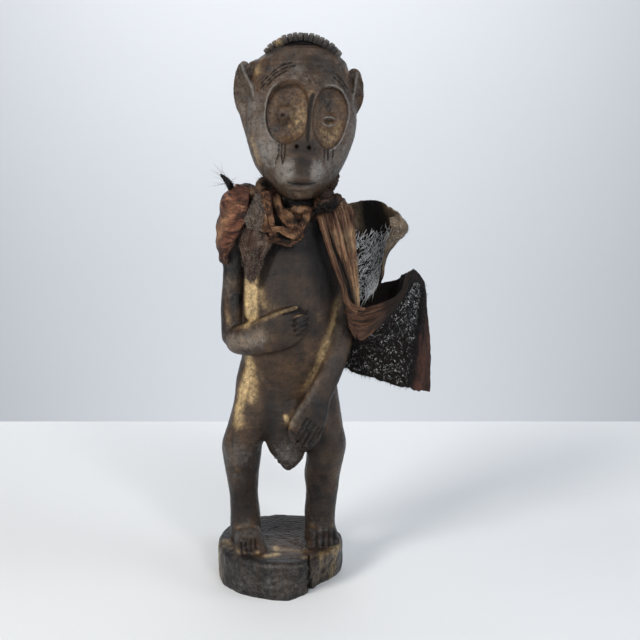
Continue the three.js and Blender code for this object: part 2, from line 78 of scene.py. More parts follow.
def curve_through(rows: np.ndarray, shares: np.ndarray) -> np.ndarray:
    """Finds points on a smooth centripetal curve through rows of numbers.

    Args:
        rows: The stations, one row each.
        shares: Places along the stations, from 0 to 1.

    Returns:
        One row per share.
    """
    rows = np.asarray(rows, float)
    padded = np.vstack([2 * rows[0] - rows[1], rows, 2 * rows[-1] - rows[-2]])
    position = np.clip(np.asarray(shares, float), 0, 1) * (len(rows) - 1)
    first = np.minimum(position.astype(int), len(rows) - 2)
    weight = (position - first)[:, None]
    p0, p1, p2, p3 = (padded[first + k] for k in range(4))
    d0, d1, d2 = (np.sum((b - a) ** 2, axis=1)[:, None] ** 0.25 for a, b in ((p0, p1), (p1, p2), (p2, p3)))
    d1 = np.where(d1 < 1e-4, 1.0, d1)
    d0 = np.where(d0 < 1e-4, d1, d0)
    d2 = np.where(d2 < 1e-4, d1, d2)
    t1 = d1 * ((p1 - p0) / d0 - (p2 - p0) / (d0 + d1) + (p2 - p1) / d1)
    t2 = d1 * ((p2 - p1) / d1 - (p3 - p1) / (d1 + d2) + (p3 - p2) / d2)
    cubic = 2 * p1 - 2 * p2 + t1 + t2
    square = -3 * p1 + 3 * p2 - 2 * t1 - t2
    return p1 + weight * (t1 + weight * (square + weight * cubic))


def rounding(shares: np.ndarray, cap: float) -> np.ndarray:
    """How full a body is at shares of its length: 1, and rounded off over cap at both ends."""
    end = np.clip(np.minimum(shares, 1 - shares) / cap, 0, 1)
    return np.sqrt(1 - (1 - end) ** 2)


def unit(vectors: np.ndarray) -> np.ndarray:
    """Rows scaled to length 1."""
    return vectors / np.maximum(np.linalg.norm(vectors, axis=-1, keepdims=True), 1e-9)


def grain(points: np.ndarray, size: float | tuple, seed: int = 0) -> np.ndarray:
    """Gives smooth random values over a lattice.

    Args:
        points: Rows of three coordinates.
        size: The lattice's cell size, one number or one per axis.
        seed: Chooses the pattern.

    Returns:
        Values from -1 to 1, one per row.
    """
    scaled = points / np.asarray(size, float)
    cell = np.floor(scaled).astype(np.int64)
    part = scaled - cell
    part = part * part * (3 - 2 * part)
    total = np.zeros(len(points))
    for corner in np.ndindex(2, 2, 2):
        key = cell + corner
        mixed = (key[:, 0] * 73856093) ^ (key[:, 1] * 19349663) ^ (key[:, 2] * 83492791) ^ (seed * 97531)
        mixed = ((mixed & 0xFFFFFFFF) * 1274126177) & 0xFFFFFFFF
        mixed = ((mixed ^ (mixed >> 15)) * 668265263) & 0xFFFFFFFF
        weight = np.prod(np.where(corner, part, 1 - part), axis=1)
        total += weight * ((mixed >> 8 & 0xFFFF) / 32767.5 - 1)
    return total


def nearest(points: np.ndarray, track: np.ndarray) -> np.ndarray:
    """How far each point is from a line of short straight runs.

    Args:
        points: The points, as rows of x, y, z.
        track: The corners of the line.

    Returns:
        The distance of each point.
    """
    near = np.full(len(points), 1e9)
    for start, end in zip(track[:-1], track[1:]):
        run = end - start
        share = np.clip((points - start) @ run / max(run @ run, 1e-12), 0, 1)
        near = np.minimum(near, np.linalg.norm(points - start - share[:, None] * run, axis=1))
    return near


def bell(co: np.ndarray, at: tuple, half: tuple, powers: tuple = (2, 2)) -> np.ndarray:
    """A soft oval patch seen from the front, at (x, z), of a half width and a half height."""
    across, up = (np.abs(co[:, k] - c) / h for k, c, h in zip((0, 2), at, half))
    return np.exp(-(across ** powers[0] + up ** powers[1]))


def dome(co: np.ndarray, at: tuple, half: tuple, power: float = 2.0) -> np.ndarray:
    """A patch like bell's, with a flatter top and a steeper edge."""
    across, up = (np.abs(co[:, k] - c) / h for k, c, h in zip((0, 2), at, half))
    return np.exp(-((across**2 + up**2) ** power))


def reshape(verts: list, place: Callable) -> None:
    """Moves vertices to where place puts the rows of their coordinates.

    Args:
        verts: The vertices to move.
        place: Gives the new rows for rows of coordinates.
    """
    moved = place(np.array([vert.co[:] for vert in verts]))
    for vert, co in zip(verts, moved):
        vert.co = co


def corners_of(mesh: bpy.types.Mesh) -> np.ndarray:
    """A mesh's vertices as rows.

    Args:
        mesh: The mesh.

    Returns:
        Rows of x, y, z.
    """
    rows = np.empty(len(mesh.vertices) * 3)
    mesh.vertices.foreach_get("co", rows)
    return rows.reshape(-1, 3)


def normals_of(mesh: bpy.types.Mesh) -> np.ndarray:
    """A mesh's vertex normals as rows.

    Args:
        mesh: The mesh.

    Returns:
        Rows of x, y, z.
    """
    rows = np.empty(len(mesh.vertices) * 3)
    mesh.vertex_normals.foreach_get("vector", rows)
    return rows.reshape(-1, 3)


def put_corners(mesh: bpy.types.Mesh, rows: np.ndarray) -> None:
    """Sets a mesh's vertices from rows."""
    mesh.vertices.foreach_set("co", np.ascontiguousarray(rows, np.float32).ravel())
    mesh.update()


def put_tints(mesh: bpy.types.Mesh, **tints: np.ndarray) -> None:
    """Keeps numbers per vertex, under the names that the finishes read.

    Args:
        mesh: The mesh.
        **tints: Each tint, by its name, a number per vertex.
    """
    for name, values in tints.items():
        tint = mesh.attributes.new(name, "FLOAT", "POINT")
        tint.data.foreach_set("value", np.clip(values, 0, 1).astype(np.float32))


def object_of(mesh: bpy.types.Mesh, name: str) -> bpy.types.Object:
    """A new object at the origin that shows the mesh.

    Args:
        mesh: The mesh.
        name: What it is called.

    Returns:
        The object.
    """
    made = bpy.data.objects.new(name, mesh)
    bpy.context.scene.collection.objects.link(made)
    return made


def piece_of(bm: bmesh.types.BMesh, name: str) -> bpy.types.Object:
    """A new piece made of a bmesh, which is used up.

    Args:
        bm: The bmesh.
        name: What it is called.

    Returns:
        The piece.
    """
    mesh = bpy.data.meshes.new(name)
    bm.to_mesh(mesh)
    bm.free()
    return object_of(mesh, name)


def settled(piece: bpy.types.Object) -> bpy.types.Object:
    """Applies a piece's modifiers to its mesh.

    Args:
        piece: The piece, with its modifiers.

    Returns:
        The same piece.
    """
    graph = bpy.context.evaluated_depsgraph_get()
    mesh = bpy.data.meshes.new_from_object(piece.evaluated_get(graph))
    piece.modifiers.clear()
    old = piece.data
    piece.data = mesh
    bpy.data.meshes.remove(old)
    return piece


def joined(piece: bpy.types.Object, voxel: float, easing: int) -> bpy.types.Object:
    """Makes overlapping forms one skin, and eases the joints between them.

    Args:
        piece: The piece.
        voxel: The remesh's step, in millimetres.
        easing: How many rounds of smoothing follow.

    Returns:
        The same piece.
    """
    remesh = piece.modifiers.new("join", "REMESH")
    remesh.mode = "VOXEL"
    remesh.voxel_size = voxel
    piece.modifiers.new("ease", "SMOOTH").iterations = easing
    return settled(piece)


def finished(
    piece: bpy.types.Object, slot: Slot, material: bpy.types.Material, *nodes: str
) -> bpy.types.Object:
    """Dresses a finished piece.

    Args:
        piece: The piece, in millimetres.
        slot: Its slot; not used.
        material: Its finish.
        *nodes: The CAD nodes that it stands for.

    Returns:
        The piece, in metres, riding on the body.
    """
    put_corners(piece.data, corners_of(piece.data) * MM)
    piece.data.shade_smooth()
    piece.data.materials.clear()
    piece.data.materials.append(material)
    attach(piece, "root")
    if nodes:
        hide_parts(*nodes)
    log.info("%s: %d faces", piece.name, len(piece.data.polygons))
    return piece


# Finishes


class NodeBench:
    """A material's nodes, with short ways to add and join them."""

    def __init__(self, name: str) -> None:
        """Starts a material with a plain shader.

        Args:
            name: What it is called.
        """
        self.material = bpy.data.materials.new(name)
        self.material.use_nodes = True
        self.tree = self.material.node_tree
        self.shader = self.tree.nodes["Principled BSDF"]

    def add(self, kind: str, inputs: dict, **settings) -> bpy.types.Node:
        """Adds a node.

        Args:
            kind: The node's type.
            inputs: Values or sockets by input name or number.
            **settings: The node's own properties.

        Returns:
            The node.
        """
        node = self.tree.nodes.new(kind)
        for key, value in settings.items():
            setattr(node, key, value)
        for key, value in inputs.items():
            if isinstance(value, bpy.types.NodeSocket):
                self.tree.links.new(value, node.inputs[key])
            else:
                node.inputs[key].default_value = value
        return node

    def tint(self, name: str) -> bpy.types.NodeSocket:
        """The piece's own number of that name."""
        return self.add("ShaderNodeAttribute", {}, attribute_name=name).outputs["Fac"]

    def placed(self, stretch: tuple = (1, 1, 1), source: str = "Object") -> bpy.types.NodeSocket:
        """Coordinates on the piece, stretched along each axis."""
        place = self.add("ShaderNodeTexCoord", {}).outputs[source]
        return self.add("ShaderNodeMapping", {"Vector": place, "Scale": stretch}).outputs[0]

    def noise(self, scale: float, detail: float = 4, stretch: tuple = (1, 1, 1), source: str = "Object",
              rough: float = 0.55, warp: float = 0.0) -> bpy.types.NodeSocket:
        """Cloudy noise from 0 to 1.

        Args:
            scale: How many cells fit a metre.
            detail: How many finer layers it has.
            stretch: The shares along x, y and z.
            source: The coordinates, or none for the object's own.
            rough: How strong the finer layers are.
            warp: How far the cells are drawn out of line.

        Returns:
            The noise.
        """
        inputs = {"Vector": self.placed(stretch, source), "Scale": scale, "Detail": detail,
                  "Roughness": rough, "Distortion": warp}
        return self.add("ShaderNodeTexNoise", inputs).outputs["Fac"]

    def math(self, operation: str, *values, clamp: bool = False) -> bpy.types.NodeSocket:
        """Arithmetic on sockets and numbers."""
        node = self.add("ShaderNodeMath", dict(enumerate(values)), operation=operation, use_clamp=clamp)
        return node.outputs[0]

    def times(self, *values, clamp: bool = False) -> bpy.types.NodeSocket:
        """The product of two sockets or numbers."""
        return self.math("MULTIPLY", *values, clamp=clamp)

    def scaled(self, value, factor, plus, clamp: bool = False) -> bpy.types.NodeSocket:
        """A value times a factor, plus another."""
        return self.math("MULTIPLY_ADD", value, factor, plus, clamp=clamp)

    def most(self, *values) -> bpy.types.NodeSocket:
        """The larger of two."""
        return self.math("MAXIMUM", *values)

    def between(self, value: bpy.types.NodeSocket, low: float, high: float) -> bpy.types.NodeSocket:
        """0 below low, 1 above high, and smooth between them."""
        inputs = {"Value": value, "From Min": low, "From Max": high}
        return self.add("ShaderNodeMapRange", inputs, interpolation_type="SMOOTHSTEP").outputs["Result"]

    def mix(self, factor, first, second, blend: str = "MIX") -> bpy.types.NodeSocket:
        """Mixes two colours.

        Args:
            factor: The share of the second colour.
            first: The first colour.
            second: The second colour.
            blend: How the second is laid over the first.

        Returns:
            The mixed colour.
        """
        node = self.add("ShaderNodeMix", {}, data_type="RGBA", blend_type=blend)
        for key, value in ((0, factor), (6, first), (7, second)):
            if isinstance(value, bpy.types.NodeSocket):
                self.tree.links.new(value, node.inputs[key])
            else:
                node.inputs[key].default_value = value if key == 0 else (*value, 1)
        return node.outputs[2]

    def bump(self, height: bpy.types.NodeSocket, distance: float, strength: float = 1.0,
             normal: bpy.types.NodeSocket | None = None) -> bpy.types.NodeSocket:
        """Raises the surface by a height.

        Args:
            height: The height, from 0 to 1.
            distance: How high 1 stands, in metres.
            strength: How much of it counts.
            normal: A bump that lies under this one.

        Returns:
            The bumped normal.
        """
        inputs = {"Height": height, "Distance": distance, "Strength": strength}
        if normal:
            inputs["Normal"] = normal
        return self.add("ShaderNodeBump", inputs).outputs["Normal"]

    def dress(self, **sockets) -> bpy.types.Material:
        """Sets the shader's inputs, with _ for a space in their names, and returns the material.

        Args:
            **sockets: The value or link of each input.

        Returns:
            The material.
        """
        for key, value in sockets.items():
            socket = self.shader.inputs[key.replace("_", " ")]
            if isinstance(value, bpy.types.NodeSocket):
                self.tree.links.new(value, socket)
            else:
                socket.default_value = value
        return self.material


@dataclass(frozen=True)
class WoodFinish:
    """Old dark wood with a handled shine, rubbed to ochre where the hand has worn it; its pale and ochre
    tints also carry painted sheen and highlights, and its dark tint painted shade.
    """

    black: tuple = (0.0036, 0.0040, 0.0056)
    brown: tuple = (0.0212, 0.0170, 0.0140)
    warm: tuple = (0.082, 0.045, 0.023)
    # pale and ochre are also the colours of the painted sheen and highlights.
    pale: tuple = (0.165, 0.152, 0.137)
    ochre: tuple = (0.64, 0.458, 0.222)
    rust: tuple = (0.150, 0.078, 0.034)

    def material(self) -> bpy.types.Material:
        """The wood's material, which reads the tints ochre, dark, pale, warm and raw.

        Returns:
            The material.
        """
        bench = NodeBench("patinated_wood")
        clouds = bench.noise(60, 9, rough=0.72)
        fine = bench.noise(480, 5)
        fibre = bench.noise(300, 6, (1, 1, 0.06), warp=0.3)
        speckle = bench.noise(900, 3)
        colour = bench.mix(bench.between(clouds, 0.38, 0.66), self.black, self.brown)
        warmth = bench.times(bench.tint("warm"), bench.between(bench.noise(70, 6, rough=0.65), 0.3, 0.7))
        colour = bench.mix(warmth, colour, self.warm)
        # The pale tint and this noise give a grey that varies at random, with painted sheen and highlights
        # laid into the tint.
        paleness = bench.scaled(bench.noise(210, 9, rough=0.75), 2.1, -1.16)
        paleness = bench.scaled(bench.tint("pale"), 1.15, paleness)
        colour = bench.mix(bench.between(paleness, 0.0, 1.15), colour, self.pale)
        colour = bench.mix(bench.times(bench.between(fibre, 0.50, 0.72), 0.30), colour, self.warm)
        across = bench.noise(330, 5, (0.10, 1, 1), rough=0.6, warp=0.4)
        colour = bench.mix(bench.times(bench.between(across, 0.50, 0.66), 0.45), colour, self.black)
        # Ochre where the wood is worn, and painted sheen and highlights where the ochre tint lays them.
        patchy = bench.scaled(bench.noise(170, 9, rough=0.75), 3.2, -0.95)
        ochre_wear_and_sheen = bench.times(bench.tint("ochre"), patchy, clamp=True)
        light = bench.scaled(bench.noise(330, 7, rough=0.7), 1.2, -0.75)
        light = bench.scaled(bench.tint("ochre"), 0.9, light)
        ochre = bench.mix(bench.between(light, 0.0, 0.9), self.rust, self.ochre)
        colour = bench.mix(ochre_wear_and_sheen, colour, ochre)
        strips = bench.noise(900, 3, (1, 1, 0.035))
        strips = bench.between(bench.scaled(bench.noise(110, 5), 0.7, strips), 0.80, 0.96)
        rawness = bench.times(bench.tint("raw"), strips)
        colour = bench.mix(rawness, colour, self.ochre)
        pits = bench.between(bench.noise(520, 3), 0.65, 0.73)
        pits = bench.times(pits, bench.between(bench.noise(75, 4), 0.44, 0.60))
        grime = bench.times(bench.between(speckle, 0.54, 0.66), 0.6)
        # The dark tint is painted shade as well as the wood's own dark; grime and pits join it here.
        dirt_and_shade = bench.most(bench.tint("dark"), bench.most(grime, bench.times(pits, 0.85)))
        colour = bench.mix(dirt_and_shade, colour, (0.0035, 0.003, 0.003))
        rough = bench.scaled(fine, 0.30, 0.19)
        rough = bench.scaled(bench.tint("dark"), 0.4, rough, clamp=True)
        height = bench.scaled(fibre, 0.5, bench.times(fine, 0.6))
        height = bench.scaled(across, 0.5, height)
        normal = bench.bump(height, 0.0005, 0.8)
        hewn = bench.scaled(bench.noise(190, 6, rough=0.66), 1.3, bench.times(pits, -0.9))
        hewn = bench.scaled(rawness, 0.6, hewn)
        normal = bench.bump(hewn, 0.0012, 0.9, normal)
        return bench.dress(Base_Color=colour, Roughness=rough, Normal=normal, Specular_IOR_Level=0.24)


@dataclass(frozen=True)
class HideFinish:
    """Dried hide, wrinkled along its lay."""

    name: str
    dark: tuple
    brown: tuple
    light: tuple
    lay: tuple = (7, 1.1, 1)

    def material(self) -> bpy.types.Material:
        """The hide's material, which reads the tints dark and light.

        Returns:
            The material.
        """
        bench = NodeBench(self.name)
        streaks = bench.noise(3.4, 9, self.lay, "UV", rough=0.7, warp=1.2)
        blotches = bench.noise(85, 7, rough=0.7)
        fine = bench.noise(1000, 4)
        colour = bench.mix(bench.between(streaks, 0.40, 0.60), self.dark, self.brown)
        # Lighter streaks that vary at random, joined by the light tint, which on the strap is painted sheen.
        light_tone_and_sheen = bench.times(bench.between(streaks, 0.50, 0.70), bench.between(blotches, 0.36, 0.62))
        light_tone_and_sheen = bench.most(light_tone_and_sheen, bench.times(bench.tint("light"),
                                                    bench.between(blotches, 0.30, 0.68)))
        colour = bench.mix(light_tone_and_sheen, colour, self.light)
        grime = bench.times(bench.between(bench.noise(260, 5, rough=0.7), 0.54, 0.70), 0.6)
        colour = bench.mix(grime, colour, self.dark)
        colour = bench.mix(bench.times(bench.between(fine, 0.55, 0.72), 0.5), colour, self.dark)
        # The dark tint: painted shade in the folds and hollows of the strap, roll and lobe, under the cuff
        # and the jaw, and darker hide elsewhere.
        colour = bench.mix(bench.tint("dark"), colour, (0.004, 0.003, 0.0026))
        rough = bench.scaled(streaks, 0.35, 0.36)
        creases = bench.noise(5.0, 9, self.lay, "UV", rough=0.65, warp=1.6)
        normal = bench.bump(bench.scaled(fine, 0.35, bench.noise(340, 5)), 0.0005, 0.8)
        normal = bench.bump(creases, 0.0030, 0.85, normal)
        return bench.dress(Base_Color=colour, Roughness=rough, Normal=normal, Specular_IOR_Level=0.2)


# The dark, brown and light of each hide, and the lay of its fibres where it is not the usual one.
HIDES = {
    "strap_hide": ((0.026, 0.011, 0.007), (0.185, 0.086, 0.048), (0.58, 0.39, 0.215)),
    "cuff_hide": ((0.016, 0.008, 0.005), (0.110, 0.049, 0.026), (0.28, 0.145, 0.075), (1.1, 7, 1)),
    "ruddy_hide": ((0.026, 0.010, 0.007), (0.165, 0.062, 0.036), (0.50, 0.28, 0.14), (1.3, 5, 1)),
    "throat_hide": ((0.014, 0.007, 0.005), (0.135, 0.060, 0.031), (0.44, 0.24, 0.12), (1.3, 4, 1)),
    "fur_skin": ((0.006, 0.004, 0.004), (0.032, 0.015, 0.012), (0.16, 0.060, 0.034)),
    "lobe_skin": ((0.018, 0.013, 0.009), (0.110, 0.078, 0.050), (0.34, 0.25, 0.165)),
    "fuzzy_skin": ((0.022, 0.011, 0.008), (0.105, 0.052, 0.034), (0.24, 0.18, 0.135)),
}


@dataclass(frozen=True)
class HairFinish:
    """Glossy guard hairs, some of them silver; the silver hairs stand partly for painted highlights on the
    black fur.
    """

    name: str = "guard_hair"
    black: tuple = (0.0035, 0.0032, 0.0036)
    brown: tuple = (0.022, 0.014, 0.009)
    silver: tuple = (0.93, 0.935, 0.94)

    def material(self) -> bpy.types.Material:
        """The hairs' material, which reads the silver tint, partly painted highlights, and the brown tint.

        Returns:
            The material.
        """
        bench = NodeBench(self.name)
        colour = bench.mix(bench.tint("brown"), self.black, self.brown)
        colour = bench.mix(bench.times(bench.noise(1500, 2), 0.3), colour, self.black)
        colour = bench.mix(bench.tint("silver"), colour, self.silver)
        return bench.dress(Base_Color=colour, Roughness=0.34, Specular_IOR_Level=0.28)


# Wood


@dataclass
class LevelBody:
    """Ovals that lie level, one above the other.

    Each section is (z, x, y, half width, front, back), and with a snout also (snout, ridge, spread).
    """

    sections: list
    around: int = 96
    rings: int = 96
    square: float = 1.0
    cap: float = 0.12

    def add(self, bm: bmesh.types.BMesh) -> None:
        """Adds the closed body to a bmesh.

        Args:
            bm: The bmesh it goes into.
        """
        rows = np.array([(*row, 0, row[1], 10) if len(row) == 6 else row for row in self.sections], float)

        def place(co: np.ndarray) -> np.ndarray:
            """Where the unit sphere's points go.

            Args:
                co: The points, in millimetres.

            Returns:
                Where the points go.
            """
            shares = np.arccos(np.clip(co[:, 2], -1, 1)) / math.pi
            radius = np.maximum(np.hypot(co[:, 0], co[:, 1]), 1e-9)
            out = curve_through(rows[:, [1, 2, 0]], shares)
            half = curve_through(rows[:, 3:6], shares)
            snout = curve_through(rows[:, 6:9], shares)
            full = rounding(shares, self.cap)
            across, inward = (
                np.sign(co[:, k]) * (np.abs(co[:, k]) / radius) ** self.square * (radius > 1e-6)
                for k in (0, 1)
            )
            out[:, 0] += across * half[:, 0] * full
            out[:, 1] += inward * np.where(inward < 0, half[:, 1], half[:, 2]) * full
            near = np.exp(-(((out[:, 0] - snout[:, 1]) / snout[:, 2]) ** 4))
            out[:, 1] -= snout[:, 0] * full * near * np.clip(-inward * 1.6, 0, 1)
            return out

        made = bmesh.ops.create_uvsphere(bm, u_segments=self.around, v_segments=self.rings, radius=1)
        reshape(made["verts"], place)


@dataclass
class Limb:
    """Ovals strung at right angles to a path. Each section is (x, y, z, wide, thick)."""

    sections: list
    side: tuple = (0, 0, 1)
    around: int = 56
    rings: int = 64
    cap: float = 0.14
    square: float = 1.0

    def add(self, bm: bmesh.types.BMesh) -> None:
        """Adds the closed limb to a bmesh.

        Args:
            bm: The bmesh it goes into.
        """
        rows = np.array(self.sections, float)

        def place(co: np.ndarray) -> np.ndarray:
            """Where the unit sphere's points go.

            Args:
                co: The points, in millimetres.

            Returns:
                Where the points go.
            """
            shares = np.arccos(np.clip(co[:, 2], -1, 1)) / math.pi
            radius = np.maximum(np.hypot(co[:, 0], co[:, 1]), 1e-9)[:, None]
            out = curve_through(rows[:, :3], shares)
            half = curve_through(np.c_[rows[:, 3:5], np.zeros(len(rows))], shares)
            ahead = curve_through(rows[:, :3], np.minimum(shares + 0.004, 1))
            astern = curve_through(rows[:, :3], np.maximum(shares - 0.004, 0))
            tangent = unit(ahead - astern)
            side = np.array(self.side, float)
            first = unit(side - tangent * (tangent @ side)[:, None])
            second = np.cross(tangent, first)
            full = rounding(shares, self.cap)[:, None]
            swing = co[:, :2] / radius * (radius > 1e-6)
            swing = np.sign(swing) * np.abs(swing) ** self.square
            return out + full * (first * swing[:, :1] * half[:, :1] + second * swing[:, 1:] * half[:, 1:2])

        made = bmesh.ops.create_uvsphere(bm, u_segments=self.around, v_segments=self.rings, radius=1)
        reshape(made["verts"], place)


@dataclass
class Egg:
    """An ellipsoid with half sizes along X, Y and Z, turned by three angles in degrees."""

    at: tuple
    halves: tuple
    turn: tuple = (0, 0, 0)
    around: int = 48
    rings: int = 32

    def frame(self) -> Matrix:
        """The egg's place, turn and size."""
        turned = Euler([math.radians(angle) for angle in self.turn], "XYZ").to_matrix().to_4x4()
        return Matrix.Translation(self.at) @ turned @ Matrix.Diagonal((*self.halves, 1))

    def add(self, bm: bmesh.types.BMesh) -> list:
        """Adds the egg to a bmesh and returns its vertices.

        Args:
            bm: The bmesh it goes into.

        Returns:
            Its vertices.
        """
        made = bmesh.ops.create_uvsphere(
            bm, u_segments=self.around, v_segments=self.rings, radius=1, matrix=self.frame()
        )
        return made["verts"]


@dataclass(frozen=True)
class Groove:
    """A cut along a line of (x, z) points seen from the front, in wood nearer than y."""

    line: tuple
    width: float
    depth: float
    nearer: float = 0.0
    dashed: float = 0.0

    def reach(self, co: np.ndarray) -> np.ndarray:
        """How much of the cut reaches each point, from 0 to 1.

        Args:
            co: The points, in millimetres.

        Returns:
            The share at each point.
        """
        rows = np.array(self.line, float)
        track = curve_through(rows, np.linspace(0, 1, 7 * len(rows)))
        flat = co[:, [0, 2]]
        low, high = track.min(axis=0) - self.width, track.max(axis=0) + self.width
        inside = np.flatnonzero(np.all((flat > low) & (flat < high), axis=1) & (co[:, 1] < self.nearer))
        out = np.zeros(len(co))
        if not len(inside):
            return out
        cut = np.clip(1 - (nearest(flat[inside], track) / self.width) ** 2, 0, 1) ** 1.5
        if self.dashed:
            cut *= np.clip(1 + self.dashed * 2.2 * grain(co[inside], 1.7, 5), 0.1, 1.4)
        out[inside] = cut
        return out


@dataclass
class WoodPiece:
    """Carved wood: rough forms are joined and eased, then cut, and thinned to a working weight."""

    name: str
    voxel: float
    easing: int
    most: int

    def forms(self, bm: bmesh.types.BMesh) -> None:
        """Adds the rough forms."""
        raise NotImplementedError

    def carve(self, co: np.ndarray, normals: np.ndarray) -> np.ndarray:
        """Cuts the detail and returns the new places."""
        raise NotImplementedError

    def tints(self, co: np.ndarray) -> dict:
        """The tints by name."""
        raise NotImplementedError

    def build(self, finish: bpy.types.Material, *nodes: str) -> bpy.types.Object:
        """Makes the piece.

        Args:
            finish: The wood's material.
            *nodes: The CAD nodes that it stands for.

        Returns:
            The dressed piece.
        """
        bm = bmesh.new()
        self.forms(bm)
        piece = joined(piece_of(bm, self.name), self.voxel, self.easing)
        put_corners(piece.data, self.carve(corners_of(piece.data), normals_of(piece.data)))
        share = self.most / (2 * len(piece.data.polygons))
        if share < 1:
            piece.modifiers.new("thin", "DECIMATE").ratio = share
            settled(piece)
        put_tints(piece.data, **self.tints(corners_of(piece.data)))
        return finished(piece, Slot.WOOD, finish, *nodes)


def spots(co: np.ndarray, rows: list) -> np.ndarray:
    """Soft round marks.

    Args:
        co: Rows of coordinates.
        rows: Marks as (x, y, z, radius, strength).

    Returns:
        How strongly each point is marked.
    """
    out = np.zeros(len(co))
    for x, y, z, radius, strength in rows:
        distance = np.sum((co - (x, y, z)) ** 2, axis=1) / radius**2
        out = np.maximum(out, strength * np.exp(-distance))
    return out


def strokes(co: np.ndarray, rows: list) -> np.ndarray:
    """Soft marks along paths.

    Args:
        co: Rows of coordinates.
        rows: Marks as (path, radius, strength), each path a list of (x, y, z).

    Returns:
        How strongly each point is marked.
    """
    out = np.zeros(len(co))
    for path, radius, strength in rows:
        near = nearest(co, np.array(path, float)) / radius
        out = np.maximum(out, strength * np.exp(-(near**2)))
    return out


@dataclass(frozen=True)
class Dish:
    """A dish cut back from the face, inside an outline of (x, z) points seen from the front."""

    outline: tuple
    wall: float
    deep: float
    soft_top: float

    def inside(self, co: np.ndarray) -> np.ndarray:
        """How far inside the outline each point of the face is, and below 0 outside it.

        Args:
            co: The points, in millimetres.

        Returns:
            How far inside, from below 0 to 1.
        """
        ring = np.array([*self.outline, self.outline[0]], float)
        closed = np.vstack([ring[-3:-1], ring, ring[1:3]])
        track = curve_through(closed, np.linspace(2, len(closed) - 3, 90) / (len(closed) - 1))
        flat = co[:, [0, 2]]
        out = np.full(len(co), -9.0)
        low, high = track.min(axis=0) - 4, track.max(axis=0) + 4
        some = np.flatnonzero(np.all((flat > low) & (flat < high), axis=1) & (co[:, 1] < -6))
        points = flat[some]
        track = np.vstack([track, track[:1]])
        near = nearest(points, track)
        crossings = np.zeros(len(some), int)
        for start, end in zip(track[:-1], track[1:]):
            run = end - start
            level = (points[:, 1] - start[1]) / (run[1] if abs(run[1]) > 1e-9 else 1e-9)
            crossings += (level >= 0) & (level < 1) & (start[0] + level * run[0] > points[:, 0])
        out[some] = np.where(crossings % 2 == 1, near, -near)
        return out

    def depth(self, co: np.ndarray) -> np.ndarray:
        """How far back each point is cut.

        Args:
            co: The points, in millimetres.

        Returns:
            The depth at each point.
        """
        inside = self.inside(co)
        rows = np.array(self.outline, float)
        top = np.clip((co[:, 2] - np.median(rows[:, 1]) - 6) / 14, 0, 1)
        edge = np.clip(inside / (1.3 + self.soft_top * top), 0, 1)
        edge = edge * edge * (3 - 2 * edge)
        middle = np.clip(inside / 15, 0, 1)
        bead = np.exp(-(((inside + 0.8) / 0.7) ** 2)) * (1 - 0.7 * top)
        return self.wall * edge + self.deep * (1 - (1 - middle) ** 2) - 0.12 * bead


